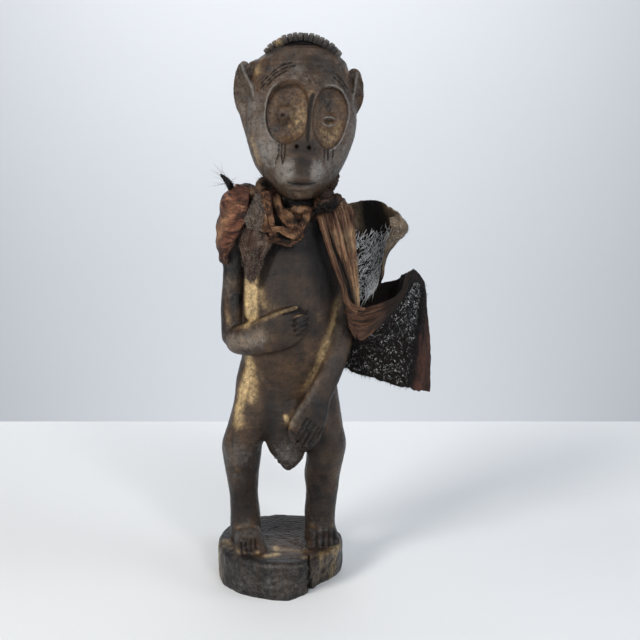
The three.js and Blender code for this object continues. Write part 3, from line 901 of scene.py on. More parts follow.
@dataclass
class Head(WoodPiece):
    """The monkey's head, with its wide sockets and cupped ears."""

    name: str = "wood_head"
    voxel: float = 0.55
    easing: int = 3
    most: int = 150000
    skull: list = field(default_factory=lambda: [
        (440.5, 18.5, 2, 11, 8, 11, 0, 18, 10),
        (436, 18.5, 1.5, 24, 19, 22, 0, 18, 10),
        (431.5, 18, 0.8, 30.6, 23.4, 28.3, 0, 18, 10),
        (427, 18, 0, 35.3, 26.8, 33, 0, 18, 10),
        (413, 18, 0, 40.3, 31.5, 39, 1, 26, 20),
        (399, 18.3, 0, 42.3, 33.5, 42, 2.5, 27, 13),
        (385, 18.5, 0, 44, 34, 42, 3, 26, 11),
        (371, 18, 0, 43.2, 34, 38, 4, 24, 13),
        (359, 17.3, 0, 40, 33.5, 33, 6, 21, 18),
        (347, 17, 0, 35.3, 32, 28, 9, 20, 21),
        (336, 17.5, 0, 28.5, 30, 22, 11, 19, 21),
        (326.5, 18, 0, 20, 26, 14, 9, 18, 17),
        (319, 18, -6, 9, 18, 9, 4, 18, 12),
    ])
    left_socket: Dish = Dish((
        (-8.1, 386.9), (-7.3, 375.6), (-3.4, 368.1), (3.4, 363.3), (9.1, 363.0), (16.8, 365.8), (21.6, 370.0),
        (24.4, 379.0), (25.4, 391.0), (24.5, 401.1), (19.7, 409.1), (11.2, 411.5), (4.5, 409.8),
        (-2.2, 405.3),
        (-6.1, 398.0),
    ), 3.0, 5.2, 5.0)
    right_socket: Dish = Dish((
        (27.4, 383.6), (28.6, 391.0), (31.2, 398.5), (35.8, 405.1), (42.4, 406.4), (49.2, 404.0),
        (53.7, 396.9),
        (55.7, 387.5), (53.7, 377.9), (49.4, 366.5), (44.5, 360.7), (39.6, 358.7), (33.9, 361.4),
        (29.3, 368.8),
        (27.3, 377.1),
    ), 2.8, 4.6, 1.0)
    brow_lines: tuple = (
        ((-13.1, 406.9), (-8.1, 412.2), (-1.2, 418.0), (5.4, 422.1), (11.6, 423.9)),
        ((-11.8, 405.3), (-6.1, 410.7), (-0.3, 416.1), (6.4, 419.6), (15.0, 421.5)),
        ((-9.5, 403.8), (-5.1, 408.7), (1.2, 414.1), (8.4, 417.7)),
        ((46.3, 415.7), (50.2, 411.7), (54.2, 406.0)),
        ((44.4, 413.1), (48.7, 409.7), (53.2, 403.5)),
        ((55.3, 416.4), (56.8, 411.7)),
    )
    arcs: tuple = (
        ((16.0, 417.0), (22.0, 417.4), (28.0, 414.5), (31.0, 408.8)),
        ((14.5, 414.6), (20.5, 415.0), (25.4, 412.3), (28.0, 406.8)),
        ((35.0, 409.5), (40.5, 411.8), (46.5, 409.5)),
    )
    tears: tuple = (
        ((2.2, 363.3), (1.4, 354.9), (-0.8, 348.3)),
        ((4.4, 363.3), (4.1, 354.9), (4.7, 348.2)),
        ((6.9, 363.8), (6.5, 354.8), (5.6, 349.2)),
        ((37.2, 358.8), (36.9, 353.0)),
        ((39.7, 358.4), (39.5, 351.1)),
        ((43.6, 358.8), (43.0, 353.1)),
    )
    ridge: tuple = ((28.2, 399.3), (26.3, 391.9), (25.4, 382.7), (24.4, 371.5), (24.2, 366.0))
    nostrils: tuple = ((15.9, 360.9), (25.1, 360.1))
    pupil: tuple = (4.8, 384.6)
    eye: tuple = (40.4, 380.3)
    lid: tuple = (4.8, 3.4)
    nostril: float = 1.35
    face: float = -25.0
    mouth: tuple = ((9.2, 334.0), (13.5, 332.9), (19.4, 332.3), (25.4, 332.7), (29.8, 333.8))

    def ear(self, bm: bmesh.types.BMesh, at: tuple, halves: tuple, turn: tuple, blade: list) -> None:
        """Adds a cupped ear, and the blade that stands between its hollow and the face.

        Args:
            bm: The bmesh it goes into.
            at: The ear's middle.
            halves: Its half width, depth and height.
            turn: How far it is turned, in degrees.
            blade: The corners of the blade.
        """
        shape = Egg(at, halves, turn, 72, 48)
        back = np.array(shape.frame().inverted())
        forth = np.array(shape.frame())
        toward = 1 if at[0] < HEAD_X else -1

        def cupped(co: np.ndarray) -> np.ndarray:
            """Folds the front half of the egg back into it, and draws its lower end to the head.

            Args:
                co: The points, in millimetres.

            Returns:
                Where the points go.
            """
            local = co @ back[:3, :3].T + back[:3, 3]
            local[:, 1] = np.where(local[:, 1] < 0, -0.25 * local[:, 1] - 0.1, local[:, 1])
            local[:, 0] += toward * 0.55 * np.clip(-local[:, 2], 0, 1) ** 2
            return local @ forth[:3, :3].T + forth[:3, 3]

        reshape(shape.add(bm), cupped)
        Limb([(*place, 3.4, 1.5) for place in blade], (0, 1, 0), 32, 48, 0.2).add(bm)

    def forms(self, bm: bmesh.types.BMesh) -> None:
        """Adds the skull, the ears and what joins them.

        Args:
            bm: The bmesh it goes into.
        """
        LevelBody(self.skull, 160, 176, 0.93, 0.05).add(bm)
        Egg((-15.5, 1, 419), (9.5, 11, 10.5)).add(bm)
        Limb([(-27.0, 4, 397, 4.6, 7), (-26.0, 3, 389, 4.8, 8), (-23.8, 2, 381, 4.8, 9),
            (-20.2, 0, 368, 4.4, 9),
              (-16.6, -1, 356, 4.2, 9)], (1, 0, 0), cap=0.1, square=0.6).add(bm)
        self.ear(bm, (-26.5, 4, 404), (9, 8, 24.5), (0, 0, 0),
                 [(-28.5, -1, 427), (-25, -7, 418.5), (-20.5, -12, 409.5), (-17.5, -15.5, 400),
                     (-17, -17, 392)])
        self.ear(bm, (59.5, 6, 402), (8.8, 8, 21.5), (0, 4, 0),
                 [(62.5, 0, 419.5), (61.2, -4, 411), (59.5, -7, 401), (57.8, -9, 391), (57, -9, 384)])

    def carve(self, co: np.ndarray, normals: np.ndarray) -> np.ndarray:
        """Cuts the sockets, eyes, brow lines, tears, nostrils and mouth.

        Args:
            co: The points, in millimetres.
            normals: Their normals.

        Returns:
            The carved points.
        """
        back = sum(socket.depth(co) for socket in (self.left_socket, self.right_socket))
        co[:, 1] += back
        front = co[:, 1] < -12
        ball = 3.2 * dome(co, (7, 386), (7.0, 6.6), 1.6) + 1.4 * dome(co, (8, 386), (11.5, 12))
        co[:, 1] -= np.where(front, ball, 0)
        co[:, 1] += np.where(front, 1.5 * dome(co, self.pupil, (1.5, 1.4)), 0)
        ring = self.ring(co)
        lids = np.exp(-(((ring - 1) / 0.24) ** 2)) * np.exp(-(((co[:, 0] - self.eye[0]) / 4.6) ** 4))
        slit = bell(co, self.eye, (4.4, 0.9), (4, 2))
        mound = np.exp(-((ring / 1.9) ** 4))
        co[:, 1] -= np.where(front, 2.0 * mound + 1.4 * lids - 1.5 * slit, 0)
        for at in self.nostrils:
            hole = dome(co, at, (self.nostril, self.nostril))
            co[:, 1] += np.where(co[:, 1] < self.face, 3.2 * hole, 0)
        lower, upper = bell(co, (19.4, 328.8), (10, 2.0), (4, 2)), bell(co, (19.4, 337.2), (11, 2.4), (4, 2))
        bowed = co - np.c_[np.zeros((len(co), 2)), 0.012 * (co[:, 0] - 19.4) ** 2]
        lips = bell(bowed, (19.4, 332.4), (10.4, 2.3), (4, 2))
        co[:, 1] -= np.where(co[:, 1] < self.face, 1.0 * lower + 0.9 * upper - 2.1 * lips, 0)
        for cut in self.cuts():
            co = co - normals * (cut.depth * cut.reach(co))[:, None]
        brow = np.clip((co[:, 2] - 402) / 8, 0, 1)
        rough = 0.26 * grain(co, (5, 5, 6), 3) + 0.17 * grain(co, 2.1, 4)
        rough += 0.40 * brow * grain(co, (9, 9, 1.7), 7)
        rough += 0.28 * np.clip(back, 0, 1) * grain(co, 1.7, 8)
        co += normals * rough[:, None]
        return co

    def ring(self, co: np.ndarray) -> np.ndarray:
        """How far each point is from the right eye's middle, where its lids stand at 1."""
        return np.hypot((co[:, 0] - self.eye[0]) / self.lid[0], (co[:, 2] - self.eye[1]) / self.lid[1])

    def cuts(self) -> list:
        """The engraved lines.

        Returns:
            The cuts, in the order they are made.
        """
        lines = [Groove(line, 0.85, 1.0, -4, 0.9) for line in self.brow_lines]
        lines += [Groove(line, 0.95, 0.55, -12, 0.3) for line in self.arcs]
        lines += [Groove(line, 0.85, 1.1, -15, 0.6) for line in self.tears]
        lines.append(Groove(self.mouth, 0.9, 0.9, -25))
        lines.append(Groove(self.ridge, 2.4, 1.0, -25))
        return lines

    def tints(self, co: np.ndarray) -> dict:
        """Ochre in the sockets and ears, with painted light and shade inside the sockets; dark cuts and nose,
        and painted shade in the mouth, at the rims, round the left eye and behind the ear blades; and the
        pale sheen of the face, which is painted highlights.

        Args:
            co: The points, in millimetres.

        Returns:
            The tints, by their names.
        """
        inside = np.maximum(*(socket.inside(co) for socket in (self.left_socket, self.right_socket)))
        in_socket = np.clip((inside - 0.6) / 1.2, 0, 1)
        rim = np.exp(-(((inside + 0.7) / 0.9) ** 2))
        shade_under_rim = np.exp(-(((inside - 0.7) / 0.6) ** 2))
        top = np.clip((co[:, 2] - 398) / 11, 0, 1)
        left = co[:, 0] < 26
        ear = np.maximum(
            np.clip((-20 - co[:, 0]) / 3, 0, 1) * np.clip((9.5 - co[:, 1]) / 2, 0, 1),
            np.clip((co[:, 0] - 59) / 3, 0, 1) * np.clip((9.5 - co[:, 1]) / 2, 0, 1),
        )
        ochre = spots(co, [
            (-14, -16, 419, 7, 0.75), (-10, -13, 426, 6, 0.65), (54, -10, 418, 6, 0.6), (57, -6, 407, 5, 0.6),
            (-18, -14, 372, 4, 0.5), (2, -4, 440, 5, 1.0), (27, -36, 401, 3.5, 0.7), (-31, 0, 396, 7, 0.5),
            (20, -30, 430, 9, 0.3), (-24, -8, 405, 6, 0.45), (36, -20, 345, 8, 0.3),
        ])
        ochre = np.maximum(ochre, strokes(co, [
            (((-19, -15, 368), (-16.5, -17.5, 359), (-13.5, -16.5, 350)), 5.4, 0.72),
        ]))
        # Painted light on the inner wall of each socket that faces the lamps, and painted shade towards the
        # sockets' tops.
        socket_lit_side = np.where(left, bell(co, (17, 384), (9, 17)), bell(co, (42, 370), (11, 12)))
        speckled = 0.15 + 0.42 * socket_lit_side - 0.20 * top + 0.12 * grain(co, 5, 56) + 0.24 * grain(co, 1.9, 59)
        ochre = np.maximum(ochre, in_socket * speckled)
        ochre = np.maximum(ochre, ear * (0.24 + 0.12 * grain(co, 7, 57)))
        ochre = np.maximum(ochre, 0.13 + 0.16 * grain(co, 9, 55))
        *lines, bridge = self.cuts()
        ridge = np.clip(1.25 * bridge.reach(co), 0, 1)
        lips = bell(co, (19.4, 332.6), (10.4, 2.2), (4, 2)) * (co[:, 1] < self.face)
        nose = np.exp(-(((co[:, 0] - 20.5) / (6 + 0.75 * np.clip(367 - co[:, 2], 0, 9))) ** 4
                        + ((co[:, 2] - 360) / 6.5) ** 4)) * (co[:, 1] < -28)
        philtrum = bell(co, (20.6, 347), (6.2, 11), (4, 4)) * (co[:, 1] < -28)
        shade = np.where(left, np.clip((4 - co[:, 0]) / 8, 0.1, 1), np.clip((co[:, 0] - 44) / 8, 0.1, 0.8))
        eyeball_shade = np.exp(-((np.hypot((co[:, 0] - 7) / 7.5, (co[:, 2] - 386) / 7.5) - 0.95) / 0.24) ** 2)
        lid = np.exp(-(((self.ring(co) - 1) / 0.24) ** 2)) * in_socket
        lid = lid * np.clip(np.abs(co[:, 2] - self.eye[1]) / 2.4, 0, 1) ** 2
        dark = np.maximum.reduce([
            *(np.clip(1.4 * cut.reach(co), 0, 0.8) for cut in lines if cut.depth > 0.6),
            *(
                (np.hypot(co[:, 0] - x, co[:, 2] - z) < self.nostril) * (co[:, 1] < self.face)
                for x, z in self.nostrils
            ),
            0.9 * ridge,
            # Painted shadow in the mouth, under the upper lip.
            0.72 * lips,
            0.74 * nose * (1 - in_socket),
            0.66 * philtrum,
            0.52 * bell(co, (27, 423), (9, 8), (4, 4)) * (co[:, 1] < -18),
            # Painted shade just inside the socket rims, away from the light.
            0.6 * shade_under_rim * (1 - top * left) * shade,
            bell(co, self.pupil, (1.2, 1.2)),
            # Painted shade in a ring round the left eyeball.
            0.42 * eyeball_shade * in_socket * left,
            0.75 * bell(co, (40.4, 380.6), (3.6, 1.5), (4, 2)) * in_socket,
            spots(co, [(7, -3, 440, 3.2, 0.85), (28, -6, 445, 2.5, 0.5)]),
            # Painted shade in the grooves behind the ear blades.
            strokes(co, [
                (((-22, -7, 421), (-18, -12, 411), (-15, -16, 402)), 1.8, 0.75),
                (((56, -8, 414), (55, -11, 404), (54, -12, 394)), 1.6, 0.6),
            ]),
        ])
        # The pale sheen: a grey that varies at random, painted light in the ear hollows, and painted
        # highlights on the cheeks, muzzle and brow, stronger on the left.
        pale = 0.25 + 0.10 * grain(co, 14, 58) + 0.22 * ear + 0.85 * spots(co, [
            (4, -38, 342, 9, 1.3), (31, -38, 341, 8, 1.15), (-9, -24, 360, 14, 1.05), (50, -20, 352, 14, 0.5),
            (18, -28, 322, 9, 0.15), (-16, -16, 392, 9, 0.75), (-14, -20, 377, 10, 0.8),
            (57, -12, 372, 10, 0.45),
            (0, -30, 349, 8, 0.6), (38, -28, 349, 8, 0.5), (18, -30, 418, 6, 0.3),
        ])
        # Painted highlights on the outer rims of the sockets and on the right eye's lids.
        side = np.where(left, np.clip((8 - co[:, 0]) / 10, 0, 1), np.clip((co[:, 0] - 34) / 10, 0, 1))
        pale = np.maximum(pale * (1 - 0.6 * in_socket), 0.9 * rim * side)
        pale = np.maximum(pale, 1.1 * lid * ~left) * (1 - ridge)
        ochre = ochre * (1 - 0.8 * lid * ~left) * (1 - lips)
        muzzle = np.maximum(philtrum, bell(co, (22, 359), (14, 8), (4, 4)) * (co[:, 1] < -26))
        pale = pale * (1 - 0.75 * muzzle)
        # Painted highlights along the ear blades.
        blade = strokes(co, [
            (((-29, -4, 427), (-25, -10, 418), (-20.5, -15, 409), (-17.5, -18, 400)), 2.2, 1.0),
            (((63, -3, 420), (61.5, -7, 410), (59.5, -10, 400), (58, -12, 388)), 2.0, 0.8),
        ])
        pale = np.maximum(pale, blade)
        ochre = ochre * (1 - blade)
        warm = 0.75 + 0.25 * in_socket
        return {"ochre": ochre, "dark": dark, "pale": pale, "warm": warm, "raw": np.zeros(len(co))}


@dataclass
class Crest:
    """The row of studs cut over the crown, three deep."""

    studs: int = 16
    centre: tuple = (18.9, 0.5, 409.4)
    radius: float = 40.5
    ends: tuple = (-46.0, 51.0)
    rows: tuple = ((-8.0, -1.5), (-2.6, 0.0), (3.0, -0.8))
    stud: tuple = (1.98, 2.4, 3.2)
    softness: float = 0.8

    def build(self, finish: bpy.types.Material) -> bpy.types.Object:
        """Makes the crest out of bevelled blocks on a low band.

        Args:
            finish: The material it is given.

        Returns:
            The piece.
        """
        bm = bmesh.new()
        rng = np.random.default_rng(3)
        half, deep, high = self.stud
        for angle in np.radians(np.linspace(*self.ends, self.studs)):
            turned = Matrix.Translation(self.centre) @ Matrix.Rotation(angle, 4, "Y")
            for depth, drop in self.rows:
                shift, up, lean = rng.uniform(-1, 1, 3)
                slip = Matrix.Translation((0.25 * shift, depth, self.radius - high + drop + 0.4 * up - 0.4))
                shape = Matrix.Diagonal((half + 0.14 * lean, deep, high, 1))
                block = Matrix.Rotation(0.10 * lean, 4, "Y") @ shape
                made = bmesh.ops.create_cube(bm, size=2, matrix=turned @ slip @ block)
                edges = list({edge for vert in made["verts"] for edge in vert.link_edges})
                bmesh.ops.bevel(bm, geom=edges, offset=self.softness, segments=3, profile=0.5,
                                affect="EDGES", material=-1)
        low = self.radius - 8.4
        x, y, z = self.centre
        Limb([(x + low * math.sin(angle), y, z + low * math.cos(angle), 8.0, 4.6)
              for angle in np.radians(np.linspace(self.ends[0] - 2, self.ends[1] + 2, 7))],
             (0, 1, 0), 32, 64, 0.05).add(bm)
        piece = piece_of(bm, "wood_crest")
        co = corners_of(piece.data)
        co += normals_of(piece.data) * (0.16 * grain(co, 1.9, 6))[:, None]
        put_corners(piece.data, co)
        lift = np.hypot(co[:, 0] - self.centre[0], co[:, 2] - self.centre[2])
        scorched = spots(co, [(8, -6, 441, 4.0, 0.85), (-4, -7, 434, 3.0, 0.7)])
        # Painted highlights on the tops of the studs and painted shade low between them; the scorch marks and
        # the ochre dab are the wood's own.
        put_tints(
            piece.data,
            pale=(0.22 + 0.85 * np.clip((lift - 37) / 2.6, 0, 1)) * (1 - scorched),
            dark=np.maximum(0.85 * np.clip((38.2 - lift) / 2.4, 0, 1), scorched),
            ochre=spots(co, [(1.5, -7, 440.5, 4.2, 1.8), (-6, -6, 437, 4, 0.6)]),
            warm=np.full(len(co), 0.4),
        )
        return finished(piece, Slot.WOOD, finish)


@dataclass
class Body(WoodPiece):
    """The standing body on its base, from the neck down."""

    name: str = "wood_body"
    voxel: float = 0.85
    easing: int = 9
    most: int = 180000
    base_radius: float = 54
    base_height: float = 31
    left_leg: tuple = (-17, -24, -32, -32.1, -30.6, 0.2)
    right_leg: tuple = (28, 33, 37.7, 35.3, 33.5, 1.5)
    trunk: list = field(default_factory=lambda: [
        (314, 15, 2, 19, 15, 15), (304, 13, 1, 34, 19, 19), (291, 12, 0, 38, 24, 23),
        (272, 11.5, 0, 40, 29, 26),
        (250, 11, 0, 40, 33, 26), (226, 10, 0, 40.5, 36, 25), (202, 8.5, 0, 39.5, 34, 24),
        (182, 6.5, 0, 38.5, 29, 26), (162, 5, 0, 38, 25, 29), (138, 4.5, 0, 31, 20, 27),
        (122, 4.5, 0, 18, 12, 18),
    ])
    fingers: tuple = (
        ((12.6, 228.2), (18.0, 231.4), (23.3, 233.6)), ((12.4, 224.0), (18.5, 227.3), (24.1, 229.4)),
        ((13.6, 220.2), (19.0, 223.4), (24.1, 225.2)), ((15.4, 216.5), (19.6, 219.3), (23.4, 220.8)),
        ((5.0, 232.6), (12.0, 234.4), (18.0, 237.2)),
        ((13.5, 131.6), (18.2, 140.0), (23.2, 148.6)), ((16.9, 129.6), (21.6, 138.2), (26.4, 146.6)),
        ((20.3, 128.2), (25.0, 136.0), (29.5, 143.6)), ((24.3, 127.8), (28.6, 134.5), (32.3, 140.8)),
        ((28.0, 129.4), (31.7, 134.8), (35.1, 139.9)), ((9.8, 138.6), (13.2, 134.4), (15.4, 129.8)),
    )
    knuckles: tuple = (
        ((17, -45, 239.5), (3, -41.5, 234), 2.0), ((25.5, -42, 233.5), (12, -45, 229.8), 1.9),
        ((26, -43, 229), (12, -45.5, 225.6), 1.9), ((25.5, -43, 224.4), (13, -45, 221.6), 1.8),
        ((24, -42, 220), (14, -44.5, 217.6), 1.7),
        ((12.6, -38.5, 127), (19.5, -42, 142), 1.8), ((16.6, -39, 124), (24, -42.5, 141), 1.8),
        ((21, -39, 123.5), (28, -42, 139), 1.8), ((25.4, -39, 125), (31.5, -41, 137.5), 1.7),
    )
    toe_tips: tuple = (
        ((-33.2, -27.5), (-34.0, -22)), ((-28.9, -31.0), (-30.0, -24)), ((-24.9, -32.0), (-26.0, -25)),
        ((-21.0, -31.0), (-22.0, -24)), ((-17.2, -29.0), (-18.2, -22)), ((28.6, -17.5), (28.2, -11)),
        ((33.6, -19.0), (33.2, -12)), ((38.7, -19.4), (38.6, -12)), ((43.6, -18.4), (43.4, -11)),
        ((48.0, -15.5), (47.6, -9)),
    )
    toes: tuple = (
        ((-30.9, 32.4), (-31.9, 38.6)), ((-26.7, 32.6), (-27.8, 39.6)), ((-22.9, 33.4), (-23.8, 40.7)),
        ((-19.2, 34.6), (-20.2, 40.6)), ((31.0, 32.4), (30.5, 40.9)), ((36.2, 32.4), (36.2, 43.7)),
        ((41.2, 32.4), (41.1, 42.8)), ((46.0, 32.4), (45.4, 40.1)),
    )

    def base(self, bm: bmesh.types.BMesh) -> None:
        """Adds the end of the log, with its lower right edge split away.

        Args:
            bm: The bmesh it goes into.
        """
        bmesh.ops.create_cone(bm, cap_ends=True, segments=160, radius1=1, radius2=1, depth=1)
        upright = [edge for edge in bm.edges if abs(edge.verts[0].co.z - edge.verts[1].co.z) > 0.5]
        bmesh.ops.subdivide_edges(bm, edges=upright, cuts=10)
        levels = np.array([(0, 0.985), (2.5, 1.0), (28, 1.0), (29.6, 0.985), (31, 0.955)])

        def place(co: np.ndarray) -> np.ndarray:
            """Where the unit cylinder's points go.

            Args:
                co: The points, in millimetres.

            Returns:
                Where the points go.
            """
            z = (co[:, 2] + 0.5) * self.base_height
            angle = np.arctan2(co[:, 1], co[:, 0])
            lobes = 0.025 * np.sin(angle) + 0.03 * np.cos(2 * angle + 2.6) + 0.012 * np.cos(5 * angle)
            lobes += 0.035 * np.exp(-(((np.abs(angle) - math.pi) / 0.7) ** 2))
            near = np.clip(1 - np.abs(angle - math.radians(-38)) / math.radians(42), 0, 1)
            undercut = 1 - 0.24 * near**0.7 * (1 - z / self.base_height)
            size = np.hypot(co[:, 0], co[:, 1]) * self.base_radius * (1 + lobes) * undercut
            size *= np.interp(z, levels[:, 0], levels[:, 1])
            return np.c_[size * np.cos(angle), size * np.sin(angle) + BASE_Y, z]

        reshape(list(bm.verts), place)

    def leg(self, bm: bmesh.types.BMesh, hip: float, thigh: float, knee: float, calf: float, ankle: float,
            stout: float) -> None:
        """Adds a leg, from its x at hip, thigh, knee, calf and ankle, and what the calf has over.

        Args:
            bm: The bmesh it goes into.
            hip: The x of the hip.
            thigh: The x of the thigh.
            knee: The x of the knee.
            calf: The x of the calf.
            ankle: The x of the ankle.
            stout: What the calf has over.
        """
        LevelBody([
            (206, hip + 0.2 * (11 - hip), 2, 15, 16, 16), (176, hip, 2, 18.5, 21, 23),
            (156, hip, 1, 21, 24, 26),
            (134, thigh, -2, 19.5, 23, 21), (118, knee + 0.6, -4, 17, 20, 15), (106, knee, -3, 15.8, 18, 15),
            (90, calf, 0, 13.6 + stout, 14, 18), (72, calf + 0.5 - stout / 2, 2, 12 + stout, 12, 17),
            (56, ankle, 3, 12.4 + stout / 2, 12, 14), (44, ankle, 3, 13, 13, 15), (26, ankle, 2, 14, 14, 16),
        ], 64, 96, 0.88, 0.05).add(bm)

    def foot(self, bm: bmesh.types.BMesh, heel: tuple, toes: tuple) -> None:
        """Adds a foot from its heel to its toes.

        Args:
            bm: The bmesh it goes into.
            heel: The middle of the heel.
            toes: The middle of the toes.
        """
        start, end = np.array(heel, float), np.array(toes, float)
        rows = ((0, 34, 15, 11), (0.3, 34, 17, 12), (0.6, 33, 14, 12.5), (0.85, 32, 9, 12.5), (1, 31, 6, 12))
        Limb([(*(start + (end - start) * share)[:2], z, wide, thick) for share, z, wide, thick in rows],
             cap=0.1).add(bm)

    def arms(self, bm: bmesh.types.BMesh) -> None:
        """Adds both arms with their hands.

        Args:
            bm: The bmesh it goes into.
        """
        Limb([(-21, 3, 311, 12, 10), (-29, 3, 300, 14, 11), (-34.5, 2, 283, 15, 11), (-35.5, 0, 261, 15, 10),
              (-37, -1, 238, 14, 10.5), (-37, -4, 215, 13, 10.5), (-36, -6, 200, 12, 10)],
             (0, 1, 0), cap=0.1, square=0.9).add(bm)
        Limb([(-41, -3, 207, 9, 8), (-29, -17, 208.5, 12.5, 10), (-12, -28.5, 213, 14.5, 10),
              (4, -35, 220, 16, 8), (15, -37.5, 226, 13.5, 6.5), (24.5, -38, 231, 9, 4.5)],
             cap=0.12, square=0.72).add(bm)
        Limb([(40, 3, 309, 12, 10), (46, 3, 298, 14, 10.5), (50.5, 2, 280, 15, 10), (51, 1, 258, 14, 9.5),
              (51, -1, 236, 13, 9.3), (50.5, -3, 216, 12, 9)], (0, 1, 0), cap=0.1).add(bm)
        Limb([(51, 0, 230, 9, 11), (50, -9, 208, 9.8, 10), (43, -21, 186, 9.5, 9), (33, -29, 165, 10, 8.5),
              (25.5, -33, 147, 13.5, 7.5), (20.5, -33.5, 134, 13.5, 6.5), (15.5, -32, 118.5, 8, 4.5)],
             (0.9, 0, -0.42), cap=0.12, square=0.74).add(bm)
        for (tip_x, tip_y), (x, y) in self.toe_tips:
            Limb([(tip_x, tip_y, 32.4, 2.4, 2.0), ((tip_x + x) / 2, (tip_y + y) / 2, 34.0, 2.6, 2.4),
                  (x, y, 36.5, 2.6, 2.4)], (1, 0, 0), 20, 24, 0.35).add(bm)
        for tip, base, wide in self.knuckles:
            x, y, z = ((a + b) / 2 for a, b in zip(tip, base))
            Limb([(*base, wide, 2.2), (x, y - 0.5, z, wide, 2.4), (*tip, wide * 0.8, 1.8)],
                 (1, 0, 1) if tip[2] > 180 else (1, 0, 0), 20, 24, 0.3).add(bm)

    def forms(self, bm: bmesh.types.BMesh) -> None:
        """Adds the base, legs, feet, trunk, loins, arms and neck.

        Args:
            bm: The bmesh it goes into.
        """
        self.base(bm)
        Limb([(-17, -12, 272, 7, 8), (-18.5, -14.5, 256, 8.5, 8), (-19, -17, 240, 9, 8),
            (-18.5, -18, 224, 8, 8)],
             (1, 0, 0), cap=0.1, square=0.7).add(bm)
        self.leg(bm, *self.left_leg)
        self.leg(bm, *self.right_leg)
        self.foot(bm, (-33, 17), (-22, -31))
        self.foot(bm, (34, 22), (38.5, -17))
        LevelBody(self.trunk, 128, 128, 1, 0.07).add(bm)
        for x in (-11, 22):
            Egg((x, 17, 155), (18, 17, 22)).add(bm)
        LevelBody([(180, 5, -5, 26, 15, 16), (146, 5, -8, 24, 19, 18), (128, 5.5, -8, 20, 18, 18),
                   (114, 6.5, -9, 15.5, 16, 15), (106, 8, -11, 10, 12, 11), (100, 8.5, -13, 4.5, 7, 8)],
                  64, 64, 0.9, 0.06).add(bm)
        for at, size in (((7.5, -18, 103.5), 4.4), ((13.5, -17, 108), 3.8), ((2.0, -16, 108.5), 3.4),
            ((10.5, -20, 112), 3.6),
                         ((5.5, -21, 110), 3.0), ((17.5, -17, 113), 3.0)):
            Egg(at, (size, 1.2 * size, size)).add(bm)
        LevelBody([(297, 15, 2, 20, 16, 17), (315, 15.5, 2, 17.5, 15, 16), (331, 16.5, 2, 18, 16, 17),
                   (351, 17, 2, 18, 15, 17)], 64, 48).add(bm)
        self.arms(bm)

    def cuts(self) -> list:
        """The fingers, toes, chest lines and the crack in the base.

        Returns:
            The cuts, in the order they are made.
        """
        lines = [Groove(line, 1.5, 1.0, -24, 0.15) for line in self.fingers]
        lines += [Groove(line, 1.2, 1.3, -1, 0.25) for line in self.toes]
        lines += [Groove(line, 0.9, 0.7, -15) for line in
                  (((-3.5, 283.8), (1.2, 289.2)), ((-0.3, 283.1), (4.4, 288.5)))]
        lines.append(Groove(((24.0, 33), (25.4, 24), (24.6, 13), (25.9, 6), (25.4, -1)), 1.2, 3.5, -30, 0.6))
        lines.append(Groove(((25.6, 12), (24.8, 5), (26.4, -1)), 2.4, 2.5, -30, 0.3))
        return lines

    def carve(self, co: np.ndarray, normals: np.ndarray) -> np.ndarray:
        """Cuts the lines, hews the surface, and lays the underside flat.

        Args:
            co: The points, in millimetres.
            normals: Their normals.

        Returns:
            The carved points.
        """
        for cut in self.cuts():
            co = co - normals * (cut.depth * cut.reach(co))[:, None]
        on_base = np.clip((33 - co[:, 2]) / 3, 0, 1)
        angle = np.arctan2(co[:, 1] - BASE_Y, co[:, 0])
        hewn = (0.30 + 0.12 * on_base) * grain(co, (7, 7, 10), 3)
        hewn += (0.10 + 0.12 * on_base) * grain(co, 2.4, 4)
        side = on_base * np.clip((np.hypot(co[:, 0], co[:, 1] - BASE_Y) - 45) / 4, 0, 1)
        hewn += 0.5 * side * grain(np.c_[angle * 54, co[:, 2], co[:, 2] * 0], (6, 11, 9), 6)
        split = np.exp(-(((angle + 0.62) / 0.42) ** 4)) * on_base
        hewn += split * (0.9 * grain(co, (2.4, 2.4, 16), 8) - 0.5)
        upper = on_base * (normals[:, 2] > 0.6)
        rings = np.cos(np.hypot(co[:, 0] - 4, (co[:, 1] - 14) * 1.25) * 1.35 + 2.2 * grain(co, 14, 9))
        at_loins = np.exp(-(((co[:, 2] - 104) / 6.5) ** 2)) * (np.abs(co[:, 0] - 8) < 12)
        hewn += 1.5 * at_loins * grain(co, 3.0, 12)
        hewn += upper * (0.32 * rings * np.clip((co[:, 1] + 8) / 16, 0, 1) + 0.25 * grain(co, 4, 10))
        co = co + normals * hewn[:, None]
        co[:, 2] = np.where(co[:, 2] < 0.9, 0, co[:, 2])
        return co

